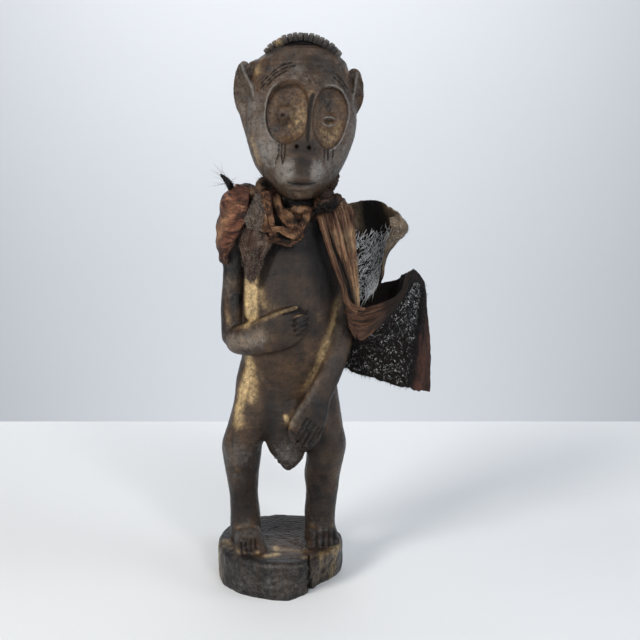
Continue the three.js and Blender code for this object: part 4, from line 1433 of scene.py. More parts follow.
    def tints(self, co: np.ndarray) -> dict:
        """The ochre streaks, partly wear and partly painted sheen and highlights; the dark cuts, and painted
        shade under the hide, arms and hands; the painted highlights; and the warm chest and shins.

        Args:
            co: The points, in millimetres.

        Returns:
            The tints, by their names.
        """
        # Ochre: partly rubbed into the wood, partly painted sheen and highlights on the lit strip of the
        # chest beside the left arm, the tops of the forearms and the hand, the right forearm's ridge and the
        # left thigh.
        ochre = strokes(co, [
            (((-21, -20, 266), (-21, -23, 252), (-21, -25, 238), (-22, -26, 222)), 7.0, 1.3),
            (((-13, -27, 250), (-10, -30, 238)), 5.0, 0.70),
            (((-40, -11, 244), (-41, -12, 232), (-40, -16, 222)), 3.2, 0.62),
            (((-33, -21.7, 217), (-20.3, -31, 223), (-8, -37, 229), (3.9, -41, 235.5)), 3.0, 0.72),
            (((-2, -40, 233), (8, -44, 236.5), (16, -45, 239)), 2.0, 1.0),
            (((10, -45.5, 231), (21, -45, 233.5)), 1.4, 0.85),
            (((-30, -28, 213), (-25, -32, 208)), 5.5, 0.5), (((-13, -37, 214), (0, -40, 216)), 4.0, 0.4),
            (((46, -14, 240), (43.5, -19, 222), (38.5, -22.5, 208), (34, -24, 196)), 6.0, 0.78),
            (((34, -24, 197), (30, -24.5, 187), (24, -26, 174), (16, -28, 159), (10, -30, 146)), 4.2, 0.72),
            (((-14, -30, 248), (-7, -33, 238), (2, -36, 232)), 8.0, 0.46),
            (((-8, -28, 200), (8, -29, 190)), 12, 0.30),
            (((-24, -17, 197), (-22.5, -19, 186), (-26, -17, 175), (-30, -16, 163), (-32.5, -16, 150),
              (-32, -19, 140)), 7.6, 1.1),
            (((-14, -22, 190), (-12, -23, 178)), 5.0, 0.5), (((-20, -20, 178), (-22, -20, 160)), 6.5, 0.85),
            (((-42, -17, 130), (-36, -19, 112), (-35, -18, 98)), 4.5, 0.44),
            # The second stroke here is a painted glint by the loins.
            (((44, -16, 112), (46, -10, 88)), 4.0, 0.38), (((5.5, -27, 147), (7, -28, 142)), 2.5, 1.1),
            (((-36, -20, 207), (-23, -29, 210), (-12, -37, 216)), 8.0, 0.5),
            (((32, -31, 176), (21.5, -35, 159), (10.3, -36, 141)), 3.6, 0.62),
            # Ochre on the base's top: worn wood with painted glints.
            (((-2, -21, 32), (8, -22, 32), (18, -26, 32)), 5.5, 0.66),
            (((-10, -35, 31), (-2, -31, 32)), 4.4, 1.1),
            (((-4, -16, 33), (-3, -22, 32)), 4.2, 1.1), (((-40, -20, 32), (-34, -31, 32)), 4.5, 0.6),
            (((20, -38, 31), (25, -35, 31)), 3.4, 0.72), (((34, -32, 31), (44, -24, 31)), 4.5, 0.6),
            (((-55, -4, 26), (-55, -4, 8)), 3.6, 1.0), (((-53, -14, 20), (-53, -14, 8)), 2.8, 0.6),
            (((27, -46, 26), (28, -45, 14)), 1.8, 0.95), (((21.5, -49, 14), (22, -48, 3)), 2.6, 0.9),
            (((-38, -9, 45), (-28, -11, 46), (-20, -10, 47)), 2.6, 0.5),
            (((26, -8, 46), (44, -5, 46)), 2.6, 0.5),
            (((-19, -22, 33), (-18, -30, 32)), 2.2, 0.8), (((24, -18, 34), (24, -10, 33)), 2.4, 0.6),
            (((-34, -24, 33), (-28, -32, 33)), 2.0, 0.5),
        ])
        mottle = np.clip(0.10 + 0.26 * grain(co, (8, 8, 12), 51), 0, 0.5)
        ochre = np.maximum(ochre, mottle * np.clip((co[:, 2] - 118) / 20, 0.35, 1) * (co[:, 2] < 262))
        dark = np.maximum.reduce([*(np.clip(1.1 * cut.reach(co), 0, 0.8) for cut in self.cuts()),
            strokes(co, [
            # Painted shade under the strap, the throat ties and the shoulder roll, over the right of the
            # chest, and on the belly under the forearm; the chest's dark right side is partly a real stain.
            (((34, -16, 300), (31, -22, 283), (34, -24, 264), (41, -18, 250)), 14, 1.0),
            (((8, -22, 303), (22, -24, 297)), 9, 0.85), (((-12, -20, 308), (0, -22, 303)), 8, 0.8),
            (((28, -27, 285), (31, -29, 262), (36, -26, 246)), 8, 0.8),
            (((-24, -14, 288), (-14, -22, 276)), 8, 0.55), (((-6, -24, 290), (14, -26, 286)), 12, 0.5),
            (((4, -27, 292), (8, -32, 276)), 12, 0.7), (((10, -32, 262), (12, -36, 240)), 24, 0.46),
            (((4, -32, 205), (6, -30, 170)), 18, 0.22),
            # Darker fronts of the shins and inner side of the left leg.
            (((-32, -16, 112), (-29, -13, 92), (-27, -11, 60)), 8, 0.5),
            (((30, -16, 112), (30, -13, 90), (30, -11, 60)), 8, 0.5),
            (((-16, -12, 128), (-19, -10, 96)), 5, 0.5),
            # Painted shade in the gap between the left arm and the trunk, and in the crease between the left
            # thigh and the loins.
            (((-28.5, -8, 262), (-28.5, -9, 222)), 1.4, 0.8), (((-6, -20, 152), (-9, -20, 130)), 7, 0.9),
            # Painted shade under the left hand's fingers and, on the next line, along the forearm's lower
            # edge, then a darker patch on the back of the hand.
            (((20, -37, 224), (26, -34, 226), (27, -34, 216)), 4, 0.5),
            (((0, -36, 208), (16, -37, 210)), 4, 0.7), (((6, -42, 217), (18, -44, 226)), 8, 0.45),
            # Painted shade beside and under the right hand's fingers.
            (((27, -34, 128), (36, -24, 126)), 6, 0.8), (((16, -36, 119), (26, -34, 121)), 2.4, 0.7),
            # The right forearm's front darker.
            (((26, -36, 150), (31, -32, 158), (38, -26, 172)), 8, 0.5),
            # Painted shade between the right forearm and the hip.
            (((37, -26, 160), (42, -14, 150)), 4, 0.6),
            # The loins a little darker, then painted shade on the right upper arm under the cuff.
            (((3, -24, 128), (8, -22, 112)), 9, 0.2), (((47, -10, 214), (52, -10, 236)), 8, 0.7),
            # The back of the base's top darker, and a darker line across the left hand.
            (((-30, 20, 32), (0, 30, 32), (30, 20, 32)), 16, 0.35),
            (((-2, -44, 232), (24, -42, 222)), 5, 0.35),
        ])])
        # Painted highlights and sheen on the parts that face the lamps: the left arm's outer side, the feet,
        # the knees and left shin, the loins, the hands and the base's front.
        pale = spots(co, [
            (-42, -8, 250, 12, 0.45), (-44, -4, 226, 10, 0.4), (-29, -18, 44, 11, 0.6),
            (34, -6, 40, 10, 0.45), (-36, -13, 92, 9, 0.45),
            (0, -54, 15, 24, 0.42), (-30, -48, 15, 24, 0.38), (-20, -16, 120, 14, 0.15),
            (6, -46, 238, 5, 0.3),
            (7, -30, 116, 12, 0.7), (16, -38, 128, 9, 0.3), (38, -18, 120, 10, 0.15),
            (-36, -22, 112, 14, 0.65),
        ])
        # Painted highlights along the right forearm's ridge, on the top of the left forearm and along the
        # base's front edge.
        pale = np.maximum(pale, strokes(co, [
            (((33, -31, 178), (24, -35, 163), (16, -36, 151), (11, -36, 143)), 3.2, 0.8),
            (((-38, -19, 206), (-25, -29, 209), (-13, -37, 214)), 8.0, 0.85),
            (((-40, -38, 29), (-20, -50, 29), (10, -53, 29), (20, -50, 29)), 2.4, 0.45),
        ]))
        warm = 0.16 + spots(co, [
            (11.6, -30, 268, 13, 0.6), (16, -31, 254, 13, 0.65), (8, -31, 190, 20, 0.75),
            (2, -28, 170, 16, 0.75),
            (-30, -15, 130, 25, 0.55), (40, -10, 100, 28, 0.45), (0, -20, 31, 28, 0.8),
            (24, -30, 205, 14, 0.7),
            (-38, -12, 100, 16, 0.4), (44, -10, 140, 20, 0.4), (-22, -18, 170, 26, 0.7),
            (30, -20, 178, 14, 0.5),
        ])
        angle = np.arctan2(co[:, 1] - BASE_Y, co[:, 0])
        side = (co[:, 2] < 32) * np.clip((np.hypot(co[:, 0], co[:, 1] - BASE_Y) - 42) / 4, 0, 1)
        raw = side * np.exp(-(((angle + 0.52) / 0.40) ** 4)) * (0.38 + 0.30 * grain(co, 6, 52))
        raw = np.maximum(raw, side * 0.55 * np.exp(-(((angle + 2.98) / 0.22) ** 2)))
        raw *= np.clip(1.25 - dark, 0, 1)
        warm *= 1 - 0.9 * side
        ochre *= 1 - 0.6 * side * (np.abs(angle + 2.98) > 0.35) * (np.abs(angle + 0.6) > 0.6)
        return {"ochre": ochre, "dark": dark, "pale": pale, "warm": warm, "raw": raw}


# Hide


@dataclass
class HideSheet:
    """A piece of hide over a net of ribs.

    Each rib runs down the hide from its top edge, and all have as many points. The first rib is
    one side edge and the last is the other.
    """

    name: str
    ribs: list
    across: int = 48
    down: int = 72
    thickness: float = 1.9
    folds: float = 0.0
    fold_count: float = 3.0
    crumple: float = 0.5
    ragged: tuple = (0.0, 0.0, 0.0, 0.0)
    seed: int = 1
    crosswise: bool = False

    def net(self, steps: int = 160) -> np.ndarray:
        """The smooth surface as a table of points, rows down the hide and columns across it.

        Args:
            steps: How many rows and columns it has.

        Returns:
            The table of points.
        """
        shares = np.linspace(0, 1, steps)
        lengthwise = np.array([curve_through(rib, shares) for rib in self.ribs])
        return np.array([curve_through(lengthwise[:, k], shares) for k in range(steps)])

    def at(self, table: np.ndarray, u: np.ndarray, v: np.ndarray) -> np.ndarray:
        """Reads a table at shares across and down.

        Args:
            table: The table.
            u: The shares across.
            v: The shares down.

        Returns:
            What the table says at each share.
        """
        last = len(table) - 1
        x, y = np.clip(u, 0, 1) * last, np.clip(v, 0, 1) * last
        i, j = np.minimum(x.astype(int), last - 1), np.minimum(y.astype(int), last - 1)
        fx, fy = (x - i)[:, None], (y - j)[:, None]
        upper = table[j, i] * (1 - fx) + table[j, i + 1] * fx
        lower = table[j + 1, i] * (1 - fx) + table[j + 1, i + 1] * fx
        return upper * (1 - fy) + lower * fy

    def frames(self, table: np.ndarray) -> np.ndarray:
        """The surface's normals over the table."""
        return unit(np.cross(np.gradient(table, axis=1), np.gradient(table, axis=0)))

    def relief(self, u: np.ndarray, v: np.ndarray, size: tuple) -> np.ndarray:
        """The height of folds and creases over the smooth surface.

        Args:
            u: The shares across.
            v: The shares down.
            size: The flat width and length, in millimetres.

        Returns:
            The height at each share.
        """
        if self.crosswise:
            u, v, size = v, u, (size[1], size[0])
        flat = np.c_[u * size[0], v * size[1], np.full(len(u), self.seed * 7.3)]
        drift = 0.55 * grain(flat, (30, 24, 9), self.seed) + 0.2 * grain(flat, (9, 16, 9), self.seed + 1)
        lines = np.cos(2 * math.pi * (self.fold_count * u + drift))
        out = self.folds * (np.abs(lines) ** 0.7 * np.sign(lines)) * (0.7 + 0.5 * grain(flat, (15, 30, 9), 2))
        creases = 0.5 - np.abs(grain(flat, (4.0, 11, 5), self.seed + 3))
        creases += 0.6 * (0.5 - np.abs(grain(flat, (2.4, 5.0, 5), self.seed + 4)))
        out += self.crumple * (1.6 * creases + 0.8 * grain(flat, (7, 7, 5), self.seed + 5))
        return out

    def size(self, table: np.ndarray) -> tuple[float, float, float]:
        """The flat width, length and area of the cut, in metres.

        Args:
            table: The table.

        Returns:
            Width, length and area.
        """
        rows = np.linalg.norm(np.diff(table, axis=1), axis=2).sum(axis=1)
        columns = np.linalg.norm(np.diff(table, axis=0), axis=2).sum(axis=0)
        cells = np.cross(np.diff(table, axis=1)[:-1], np.diff(table, axis=0)[:, :-1])
        area = np.linalg.norm(cells, axis=2).sum()
        width, length = rows.max() * MM, columns.max() * MM
        return width, length, min(area * MM * MM, width * length)

    def build(self) -> bpy.types.Object:
        """Makes the sheet, in millimetres, with its tints still to be set.

        Returns:
            The piece.
        """
        bm = bmesh.new()
        bmesh.ops.create_grid(bm, x_segments=self.across, y_segments=self.down, size=0.5, calc_uvs=True)
        layer = bm.loops.layers.uv[0] if bm.loops.layers.uv else bm.loops.layers.uv.new("hide")
        for face in bm.faces:
            for loop in face.loops:
                loop[layer].uv = (loop.vert.co.x + 0.5, 0.5 - loop.vert.co.y)
        table = self.net()
        frames = self.frames(table)
        width, length, _ = self.size(table)

        def place(co: np.ndarray) -> np.ndarray:
            """Where the unit grid's points go.

            Args:
                co: The points, in millimetres.

            Returns:
                Where the points go.
            """
            u, v = co[:, 0] + 0.5, 0.5 - co[:, 1]
            flat = np.c_[u * width / MM, v * length / MM]
            torn = [
                sum(
                    share * np.abs(grain(np.c_[flat, np.full(len(u), shift * k)], (cell, cell, 1), seed + k))
                    for share, shift, cell, seed in ((1, 3.0, 3.2, 11), (0.6, 5.0, 9, 21))
                )
                for k in range(4)
            ]
            left, right, top, bottom = (depth * rag for depth, rag in zip(self.ragged, torn))
            u2 = u + left * (1 - u) ** 2 / (width / MM) - right * u**2 / (width / MM)
            v2 = v + top * (1 - v) ** 2 / (length / MM) - bottom * v**2 / (length / MM)
            lift = self.relief(u, v, (width / MM, length / MM))
            return self.at(table, u2, v2) + self.at(frames, u2, v2) * lift[:, None]

        reshape(list(bm.verts), place)
        bmesh.ops.recalc_face_normals(bm, faces=bm.faces)
        piece = piece_of(bm, self.name)
        wall = piece.modifiers.new("thickness", "SOLIDIFY")
        wall.thickness = self.thickness
        wall.offset = 0
        rim = piece.modifiers.new("soft_edge", "SUBSURF")
        rim.levels = rim.render_levels = 1
        return settled(piece)

    def declare(self, piece: bpy.types.Object, hold: Hold, rests_on: list, with_pieces: list = ()) -> None:
        """States the sheet's flat cut.

        Args:
            piece: The piece.
            hold: How it is held; not used.
            rests_on: The pieces it rests on; not used.
            with_pieces: The pieces that go with it; not used.
        """
        width, length, area = self.size(self.net())
        log.info("%s: flat %.0f x %.0f mm", piece.name, width / MM, length / MM)


def ribbon(rows: list) -> list:
    """Makes a strip's net from its middle line.

    Args:
        rows: Stations (x, y, z, width, twist in degrees); untwisted, the strip faces -Y.

    Returns:
        Three ribs: one edge, the middle, a little proud, and the other edge.
    """
    rows = np.array(rows, float)
    run = unit(np.gradient(rows[:, :3], axis=0))
    face = np.tile((0.0, -1.0, 0.0), (len(rows), 1))
    face = unit(face - run * np.sum(face * run, axis=1)[:, None])
    side = np.cross(run, face)
    twist = np.radians(rows[:, 4])[:, None]
    across = side * np.cos(twist) + face * np.sin(twist)
    proud = face * np.cos(twist) - side * np.sin(twist)
    half = rows[:, 3:4] / 2
    edges = (rows[:, :3] - across * half, rows[:, :3] + proud * half * 0.35, rows[:, :3] + across * half)
    return [edge.tolist() for edge in edges]


def hide(*sizes) -> HideSheet:
    """A field that holds a sheet of hide."""
    return field(default_factory=lambda: HideSheet(*sizes))


def even(share: float) -> Callable:
    """The same chance all over a sheet."""
    return lambda u, v: np.full(len(u), share)


@dataclass
class FurCoat:
    """Guard hairs, rooted over a sheet of hide.

    keep and the silver chance give, from the shares across and down, the chance that a hair is there
    and that it is silver; the silver hairs stand partly for painted highlights on the black fur.
    """

    name: str
    sheet: HideSheet
    count: int
    length: float
    width: float
    lean: float
    down: tuple
    outward: float = -1.0
    seed: int = 5
    keep: Callable = even(1.0)
    silver: Callable = even(0.05)
    silver_length: float = 0.42
    wild: float = 1.0
    dull: float = 1.5

    def strand(self) -> tuple[np.ndarray, np.ndarray]:
        """One hair: its corners, a unit long, and its faces.

        Returns:
            Corners and faces.
        """
        bm = bmesh.new()
        bmesh.ops.create_cone(bm, cap_ends=True, segments=3, radius1=0.5, radius2=0, depth=1)
        bmesh.ops.translate(bm, verts=bm.verts, vec=(0, 0, 0.5))
        geometry = list(bm.verts) + list(bm.edges) + list(bm.faces)
        cut = bmesh.ops.bisect_plane(bm, geom=geometry, plane_co=(0, 0, 0.5), plane_no=(0, 0, 1))["geom_cut"]
        rim = [part for part in cut if isinstance(part, bmesh.types.BMVert)]
        bmesh.ops.scale(bm, verts=rim, vec=(1.6, 1.6, 1))
        bmesh.ops.triangulate(bm, faces=bm.faces)
        bm.verts.index_update()
        corners = np.array([vert.co[:] for vert in bm.verts])
        faces = np.array([[vert.index for vert in face.verts] for face in bm.faces])
        bm.free()
        return corners, faces

    def build(self) -> bpy.types.Object:
        """Makes the hairs as one mesh, in millimetres.

        Returns:
            The piece.
        """
        rng = np.random.default_rng(self.seed)
        table = self.sheet.net()
        frames = self.sheet.frames(table) * self.outward
        width, length, _ = self.sheet.size(table)
        u, v = rng.uniform(0, 1, (2, self.count * 4))
        kept = rng.uniform(size=len(u)) < self.keep(u, v)
        u, v = u[kept][: self.count], v[kept][: self.count]
        amount = len(u)
        silvery = rng.uniform(size=amount) < self.silver(u, v)
        lift = self.sheet.relief(u, v, (width / MM, length / MM)) * self.outward
        normal = unit(self.sheet.at(frames, u, v))
        root = self.sheet.at(table, u, v)
        root += normal * (lift + self.sheet.thickness * 0.4 + 1.1 * silvery)[:, None]
        swirl = np.c_[grain(root, 7, 31), grain(root, 7, 32), grain(root, 7, 33)]
        run = np.array(self.down, float) + self.wild * (1.1 * swirl + rng.normal(0, 0.55, (amount, 3)))
        run = unit(run - normal * np.sum(run * normal, axis=1)[:, None])
        rise = self.lean * rng.uniform(0.3, 1.3, amount)[:, None]
        start = unit(run + normal * rise)
        tip = unit(run + normal * (rise * rng.uniform(-0.1, 0.9, amount)[:, None]))
        long = self.length * rng.uniform(0.45, 1.25, amount) * np.where(silvery, self.silver_length, 1)
        wide = self.width * rng.uniform(0.6, 1.3, amount) * np.where(silvery, 0.95, 1)
        side = unit(np.cross(start, normal + 0.3 * rng.normal(size=(amount, 3))))
        other = unit(np.cross(start, side))
        corners, faces = self.strand()
        along = corners[:, 2][None, :, None]
        path = (start[:, None] * (along - along**2 / 2) + tip[:, None] * along**2 / 2) * long[:, None, None]
        ring = side[:, None] * corners[None, :, :1] + other[:, None] * corners[None, :, 1:2]
        ring *= wide[:, None, None]
        points = (root[:, None] + path * 1.4 + ring).reshape(-1, 3)
        stride = np.arange(amount)[:, None, None] * len(corners)
        mesh = bpy.data.meshes.new(self.name)
        mesh.from_pydata(points, [], (faces[None] + stride).reshape(-1, 3))
        tone = np.where(silvery, rng.uniform(0.25, 1, amount) ** self.dull, 0.0)
        brown = rng.uniform(0, 1, amount) ** 2
        put_tints(mesh, silver=np.repeat(tone, len(corners)), brown=np.repeat(brown, len(corners)))
        return object_of(mesh, self.name)


@dataclass
class Cape:
    """The large furred hide: strap, band, slung pocket with its turned cuff, hanging panel and lobe."""

    strap: HideSheet = hide("cape_strap", [
        [(33, 26, 298), (33, 18, 318), (33, -8, 319), (36, -21, 310), (42.5, -28, 290), (54.5, -28, 258),
            (61, -27, 233)],
        [(41, 28, 295), (42, 20, 320.5), (44, -7, 321), (47, -21, 310), (51.5, -28.5, 288),
            (59, -27.5, 255), (62.5, -27, 231)],
        [(48, 28, 293), (49, 20, 318.5), (51, -6, 319), (54, -17, 309), (57.5, -24, 288), (62, -25.5, 255),
            (63.5, -26, 231)],
        [(54, 27, 290), (54, 19, 314), (57, -4, 315), (60, -12, 307), (61.5, -17, 286), (63.5, -20.5, 250),
            (64.8, -24, 231)],
    ], 52, 120, 1.8, 1.25, 4.6, 0.42, (0.5, 0.5, 0, 0), 2)
    band: HideSheet = hide("cape_band", [
        [(26, 0, 320), (27.5, -13, 318), (30, -24, 309), (33, -31, 299), (37, -33.5, 287), (43, -34, 270),
         (49.5, -32, 253), (52.5, -30, 241), (57, -29, 233), (66, -29, 229)],
        [(30, 0, 322.5), (31, -15, 321), (34.5, -28, 309), (37.5, -33.5, 298), (41, -36, 285),
            (46.5, -36, 269.5),
         (52, -34, 254), (55, -32.5, 242), (60, -31.5, 235), (68, -31, 232)],
        [(33, 0, 320), (34, -15, 318), (37, -24, 308), (39.5, -31, 297), (42.5, -33, 285), (47.5, -33.5, 270),
         (52.5, -31.5, 255), (56.5, -30.5, 244), (62, -30, 238), (70, -29, 236.5)],
    ], 14, 96, 1.5, 0.45, 1.5, 0.38, (0.5, 0.3, 0, 0), 3)
    panel: HideSheet = hide("cape_panel", [
        [(55, -20, 231), (60, -8, 214), (54, 6, 198), (47, 12, 180.5)],
        [(66, -28, 235.5), (68, -19, 214), (65, -3, 197), (61, 0, 177)],
        [(79.6, -26, 237), (80, -20, 217), (78, -9, 197), (76, -6, 173.5)],
        [(92, -19, 241), (92, -17, 220), (90, -11, 197), (88, -8, 169.5)],
        [(103.5, -9, 254), (103, -12, 228), (102, -10, 197), (101, -8, 165.5)],
        [(111.5, 2, 263), (113, -3, 236), (113, -4, 200), (113, -4, 161.5)],
        [(120.5, 8, 252), (122.5, 3, 226), (125.3, 1, 196), (126, 0, 158.5)],
    ], 72, 72, 1.8, 0.9, 2.4, 0.5, (0.8, 0.8, 0, 2.6), 4)
    cuff: HideSheet = hide("cape_cuff", [
        [(53, -24, 231), (54, -27, 236), (54, -30.5, 236), (55, -31, 229), (57, -28, 219)],
        [(58, -20, 228), (59, -24, 234), (59.5, -29.5, 235), (60, -30.5, 225), (61.5, -26, 210.5)],
        [(66, -20, 228), (67, -25, 234), (67.5, -30, 234.6), (67, -31, 224), (66.5, -26, 208.5)],
        [(78, -19, 229), (79, -23, 236.5), (79.6, -28.5, 237.3), (79.6, -29.5, 229), (79, -26.5, 218)],
        [(90, -12, 233), (91, -16.5, 240.5), (92, -22, 241.5), (92, -23.5, 236), (91.5, -22, 229.5)],
        [(99.5, -5, 241), (100.5, -9, 248), (101.5, -14, 249.5), (101.5, -15.5, 246.5), (100.5, -15.5, 243)],
        [(103.5, 1, 252), (104.5, -3, 259.5), (105.5, -7.5, 261), (105.3, -8.5, 259), (104.5, -9, 256.5)],
        [(109, 7, 257), (110, 3, 262.5), (110.6, -0.5, 263.5), (110.6, -2.2, 262.5), (110, -3, 260.5)],
    ], 80, 40, 1.5, 0.75, 2.6, 0.5, (0, 0, 0, 1.0), 5, True)
    pocket: HideSheet = hide("cape_pocket", [
        [(110, 3, 262), (109, 3, 242), (106, 2, 218)],
        [(105, 14, 260), (104, 13, 240), (101, 8, 214)],
        [(98, 24, 253), (97, 22, 235), (94, 12, 212)],
        [(87, 27, 250), (86, 24, 232), (84, 12, 210)],
        [(75, 23, 245.5), (75, 20, 228), (74, 11, 208)],
        [(63, 18, 242), (64, 15, 224), (65, 9, 208)],
    ], 44, 28, 1.8, 0.6, 3.0, 0.5, (0, 0, 1.6, 0), 6)
    lobe: HideSheet = hide("cape_lobe", [
        [(46, 23, 314), (50, 26.5, 297), (53, 25, 275), (56, 21, 252), (58, 18, 238)],
        [(66, 16, 318.5), (70, 24, 300), (72, 24, 275), (72, 20, 255), (72, 16, 238)],
        [(78, 12, 319.5), (86, 20, 300), (84, 20, 278), (80, 17, 258), (79, 14, 243)],
        [(88, 4, 315), (97, 8, 300), (90, 10, 283), (86, 11, 266), (82, 10, 249)],
        [(95, -6, 309), (103, -6, 298), (96.5, -4, 287), (87.5, 0, 276), (84.5, 4, 256)],
        [(88, -12, 306), (90, -15, 296), (87, -11, 287), (85, -4, 274), (83.5, 3, 257)],
    ], 76, 64, 1.6, 0.5, 2.2, 0.6, (0, 1.2, 1.0, 1.2), 7)

    def build(self, bare: bpy.types.Material, along: bpy.types.Material, dark: bpy.types.Material,
              olive: bpy.types.Material, hair: bpy.types.Material) -> None:
        """Makes the hide and its fur.

        Args:
            bare: The finish of the bare flesh side.
            along: The same with its lay along the rim.
            dark: The finish of the skin under the fur.
            olive: The finish of the lobe's skin.
            hair: The finish of the hairs.
        """
        coats = {
            "cape_panel": [FurCoat("panel_fur", self.panel, 13500, 5.0, 0.46, 0.5, (0.3, -0.2, -1), -1, 5,
                                   self.panel_hairs, self.panel_silver, 0.32, 1.4)],
            "cape_lobe": [
                FurCoat("lobe_fur", self.lobe, 2000, 4.6, 0.46, 0.3, (-0.4, -0.3, -1), -1, 9,
                        self.lobe_hairs, even(0.5), 0.75, 1.5, 0.5),
                FurCoat("lobe_long_fur", self.lobe, 260, 9.5, 0.50, 0.12, (-0.75, -0.2, -1), -1, 10,
                        self.lobe_long_hairs, even(0.9), 0.9, 0.35, 0.4),
                FurCoat("lobe_specks", self.lobe, 700, 1.8, 0.26, 0.4, (0.6, 0, -1), 1, 11,
                        lambda u, v: np.clip((u - 0.6) * 4, 0, 1) * (v < 0.5), even(0.3)),
            ],
        }
        sheets = (
            (self.strap, bare, Slot.BARE, Hold.DRAPED),
            (self.band, bare, Slot.BARE, Hold.HUNG),
            (self.panel, dark, Slot.FUR, Hold.HUNG),
            (self.cuff, along, Slot.BARE, Hold.FOLDED),
            (self.pocket, dark, Slot.FUR, Hold.HUNG),
            (self.lobe, olive, Slot.FUR, Hold.HUNG),
        )
        for sheet, material, slot, hold in sheets:
            furs = [finished(coat.build(), Slot.FUR, hair) for coat in coats.get(sheet.name, [])]
            piece = sheet.build()
            co = corners_of(piece.data)
            put_tints(piece.data, dark=self.darkness(sheet.name, co), light=self.lightness(sheet.name, co))
            finished(piece, slot, material, *(["hide_cape"] if sheet is self.strap else []))
            sheet.declare(piece, hold, ["wood_body"], furs)

    def panel_hairs(self, u: np.ndarray, v: np.ndarray) -> np.ndarray:
        """Where the panel has fur: below the cuff, and left of its bare right strip."""
        bare = np.clip((u - (0.93 - 0.20 * v)) / 0.05, 0, 1)
        return (v > 0.12) * (v < 0.94) * (1 - bare) * (u < 0.945)

    def panel_silver(self, u: np.ndarray, v: np.ndarray) -> np.ndarray:
        """Where the panel's hairs are silver, partly painted highlights on the black fur: most at its upper
        right.
        """
        return (0.08 + 0.30 * np.clip(u - 0.4, 0, 1) * (v < 0.5) + 0.05 * (v > 0.8)) * (u < 0.90 - 0.2 * v)

    def lobe_long_hairs(self, u: np.ndarray, v: np.ndarray) -> np.ndarray:
        """Where the lobe's long hairs stand: at the top left of its fur."""
        return (v > 0.30) * (v < 0.56) * (u < 0.42) + 0.25 * (v > 0.3) * (u < 0.5)

    def lobe_hairs(self, u: np.ndarray, v: np.ndarray) -> np.ndarray:
        """Where the lobe has fur: the lower part of its back wall."""
        return np.clip((v - 0.34 + 0.12 * u) / 0.06, 0, 1) * (1 - np.clip((u - 0.58) / 0.08, 0, 1))

    def darkness(self, name: str, co: np.ndarray) -> np.ndarray:
        """Where each sheet is darker: painted shade beside the band and in the folds of the strap, in the
        lobe's hollows and behind the cuff at the panel's top; elsewhere the dark skin under the fur, and the
        cuff darker towards its back.

        Args:
            name: Which sheet it is.
            co: The sheet's points, in millimetres.

        Returns:
            The stain at each point.
        """
        if name == "cape_strap":
            # Painted shade beside the band and in the strap's folds.
            return strokes(co, [
                (((40, -24, 305), (43, -28, 290), (49, -29, 272)), 2.2, 0.85),
                (((48, -24, 306), (53, -27, 284), (58, -28, 262)), 1.5, 0.6),
                (((60, -14, 306), (64, -17, 286)), 2.0, 0.6),
                (((50, -29, 270), (55, -29, 256), (59.5, -28, 240)), 3.4, 1.0),
            ])
        if name == "cape_lobe":
            # Painted shade in the lobe's hollow and behind its curl.
            return strokes(co, [
                (((78, 17, 316), (79, 21, 304), (82, 20, 290), (85, 18, 280)), 12, 1.6),
                (((86, 8, 276), (83, 10, 252)), 6, 1.0),
                (((66, 22, 286), (72, 20, 250)), 14, 0.8),
            ])
        if name == "cape_panel":
            # Dark skin left of the bare strip, and painted shade behind the cuff at the top.
            edge = 112 - 0.22 * (200 - co[:, 2]).clip(-10, 40)
            return np.maximum(0.95 * np.clip((edge - co[:, 0]) / 4, 0, 1),
                0.8 * np.clip((co[:, 2] - 218) / 10, 0, 1))
        if name == "cape_pocket":
            return np.full(len(co), 0.85)
        if name == "cape_cuff":
            return np.maximum(0.85 * np.clip((co[:, 1] + 24 + (co[:, 0] - 66).clip(0) * 0.42) / 6, 0, 1), 0.2)
        return np.zeros(len(co))

    def lightness(self, name: str, co: np.ndarray) -> np.ndarray:
        """Where each sheet is lighter: painted sheen on the strap, and bleached or rusty hide on the panel
        and lobe.

        Args:
            name: Which sheet it is.
            co: The points, in millimetres.

        Returns:
            The bleach at each point.
        """
        if name == "cape_strap":
            # Painted sheen on the strap.
            return strokes(co, [
                (((56, -20, 292), (60, -23, 266), (62.5, -24, 240)), 6, 0.9),
                (((44, -27, 296), (50, -28, 280)), 2.4, 0.6),
            ])
        if name == "cape_panel":
            return strokes(co, [
                (((118, -2, 196), (116, -3, 166)), 6, 0.40),
                (((124, 0, 214), (124, 0, 196)), 3, 0.5),
            ])
        if name == "cape_lobe":
            return strokes(co, [
                (((60, 19, 312), (66, 22, 303)), 9, 0.8),
                (((97, -8, 300), (94, -8, 284)), 9, 0.7),
                (((84, -2, 272), (83, 3, 258)), 4, 0.6),
            ])
        return np.zeros(len(co))


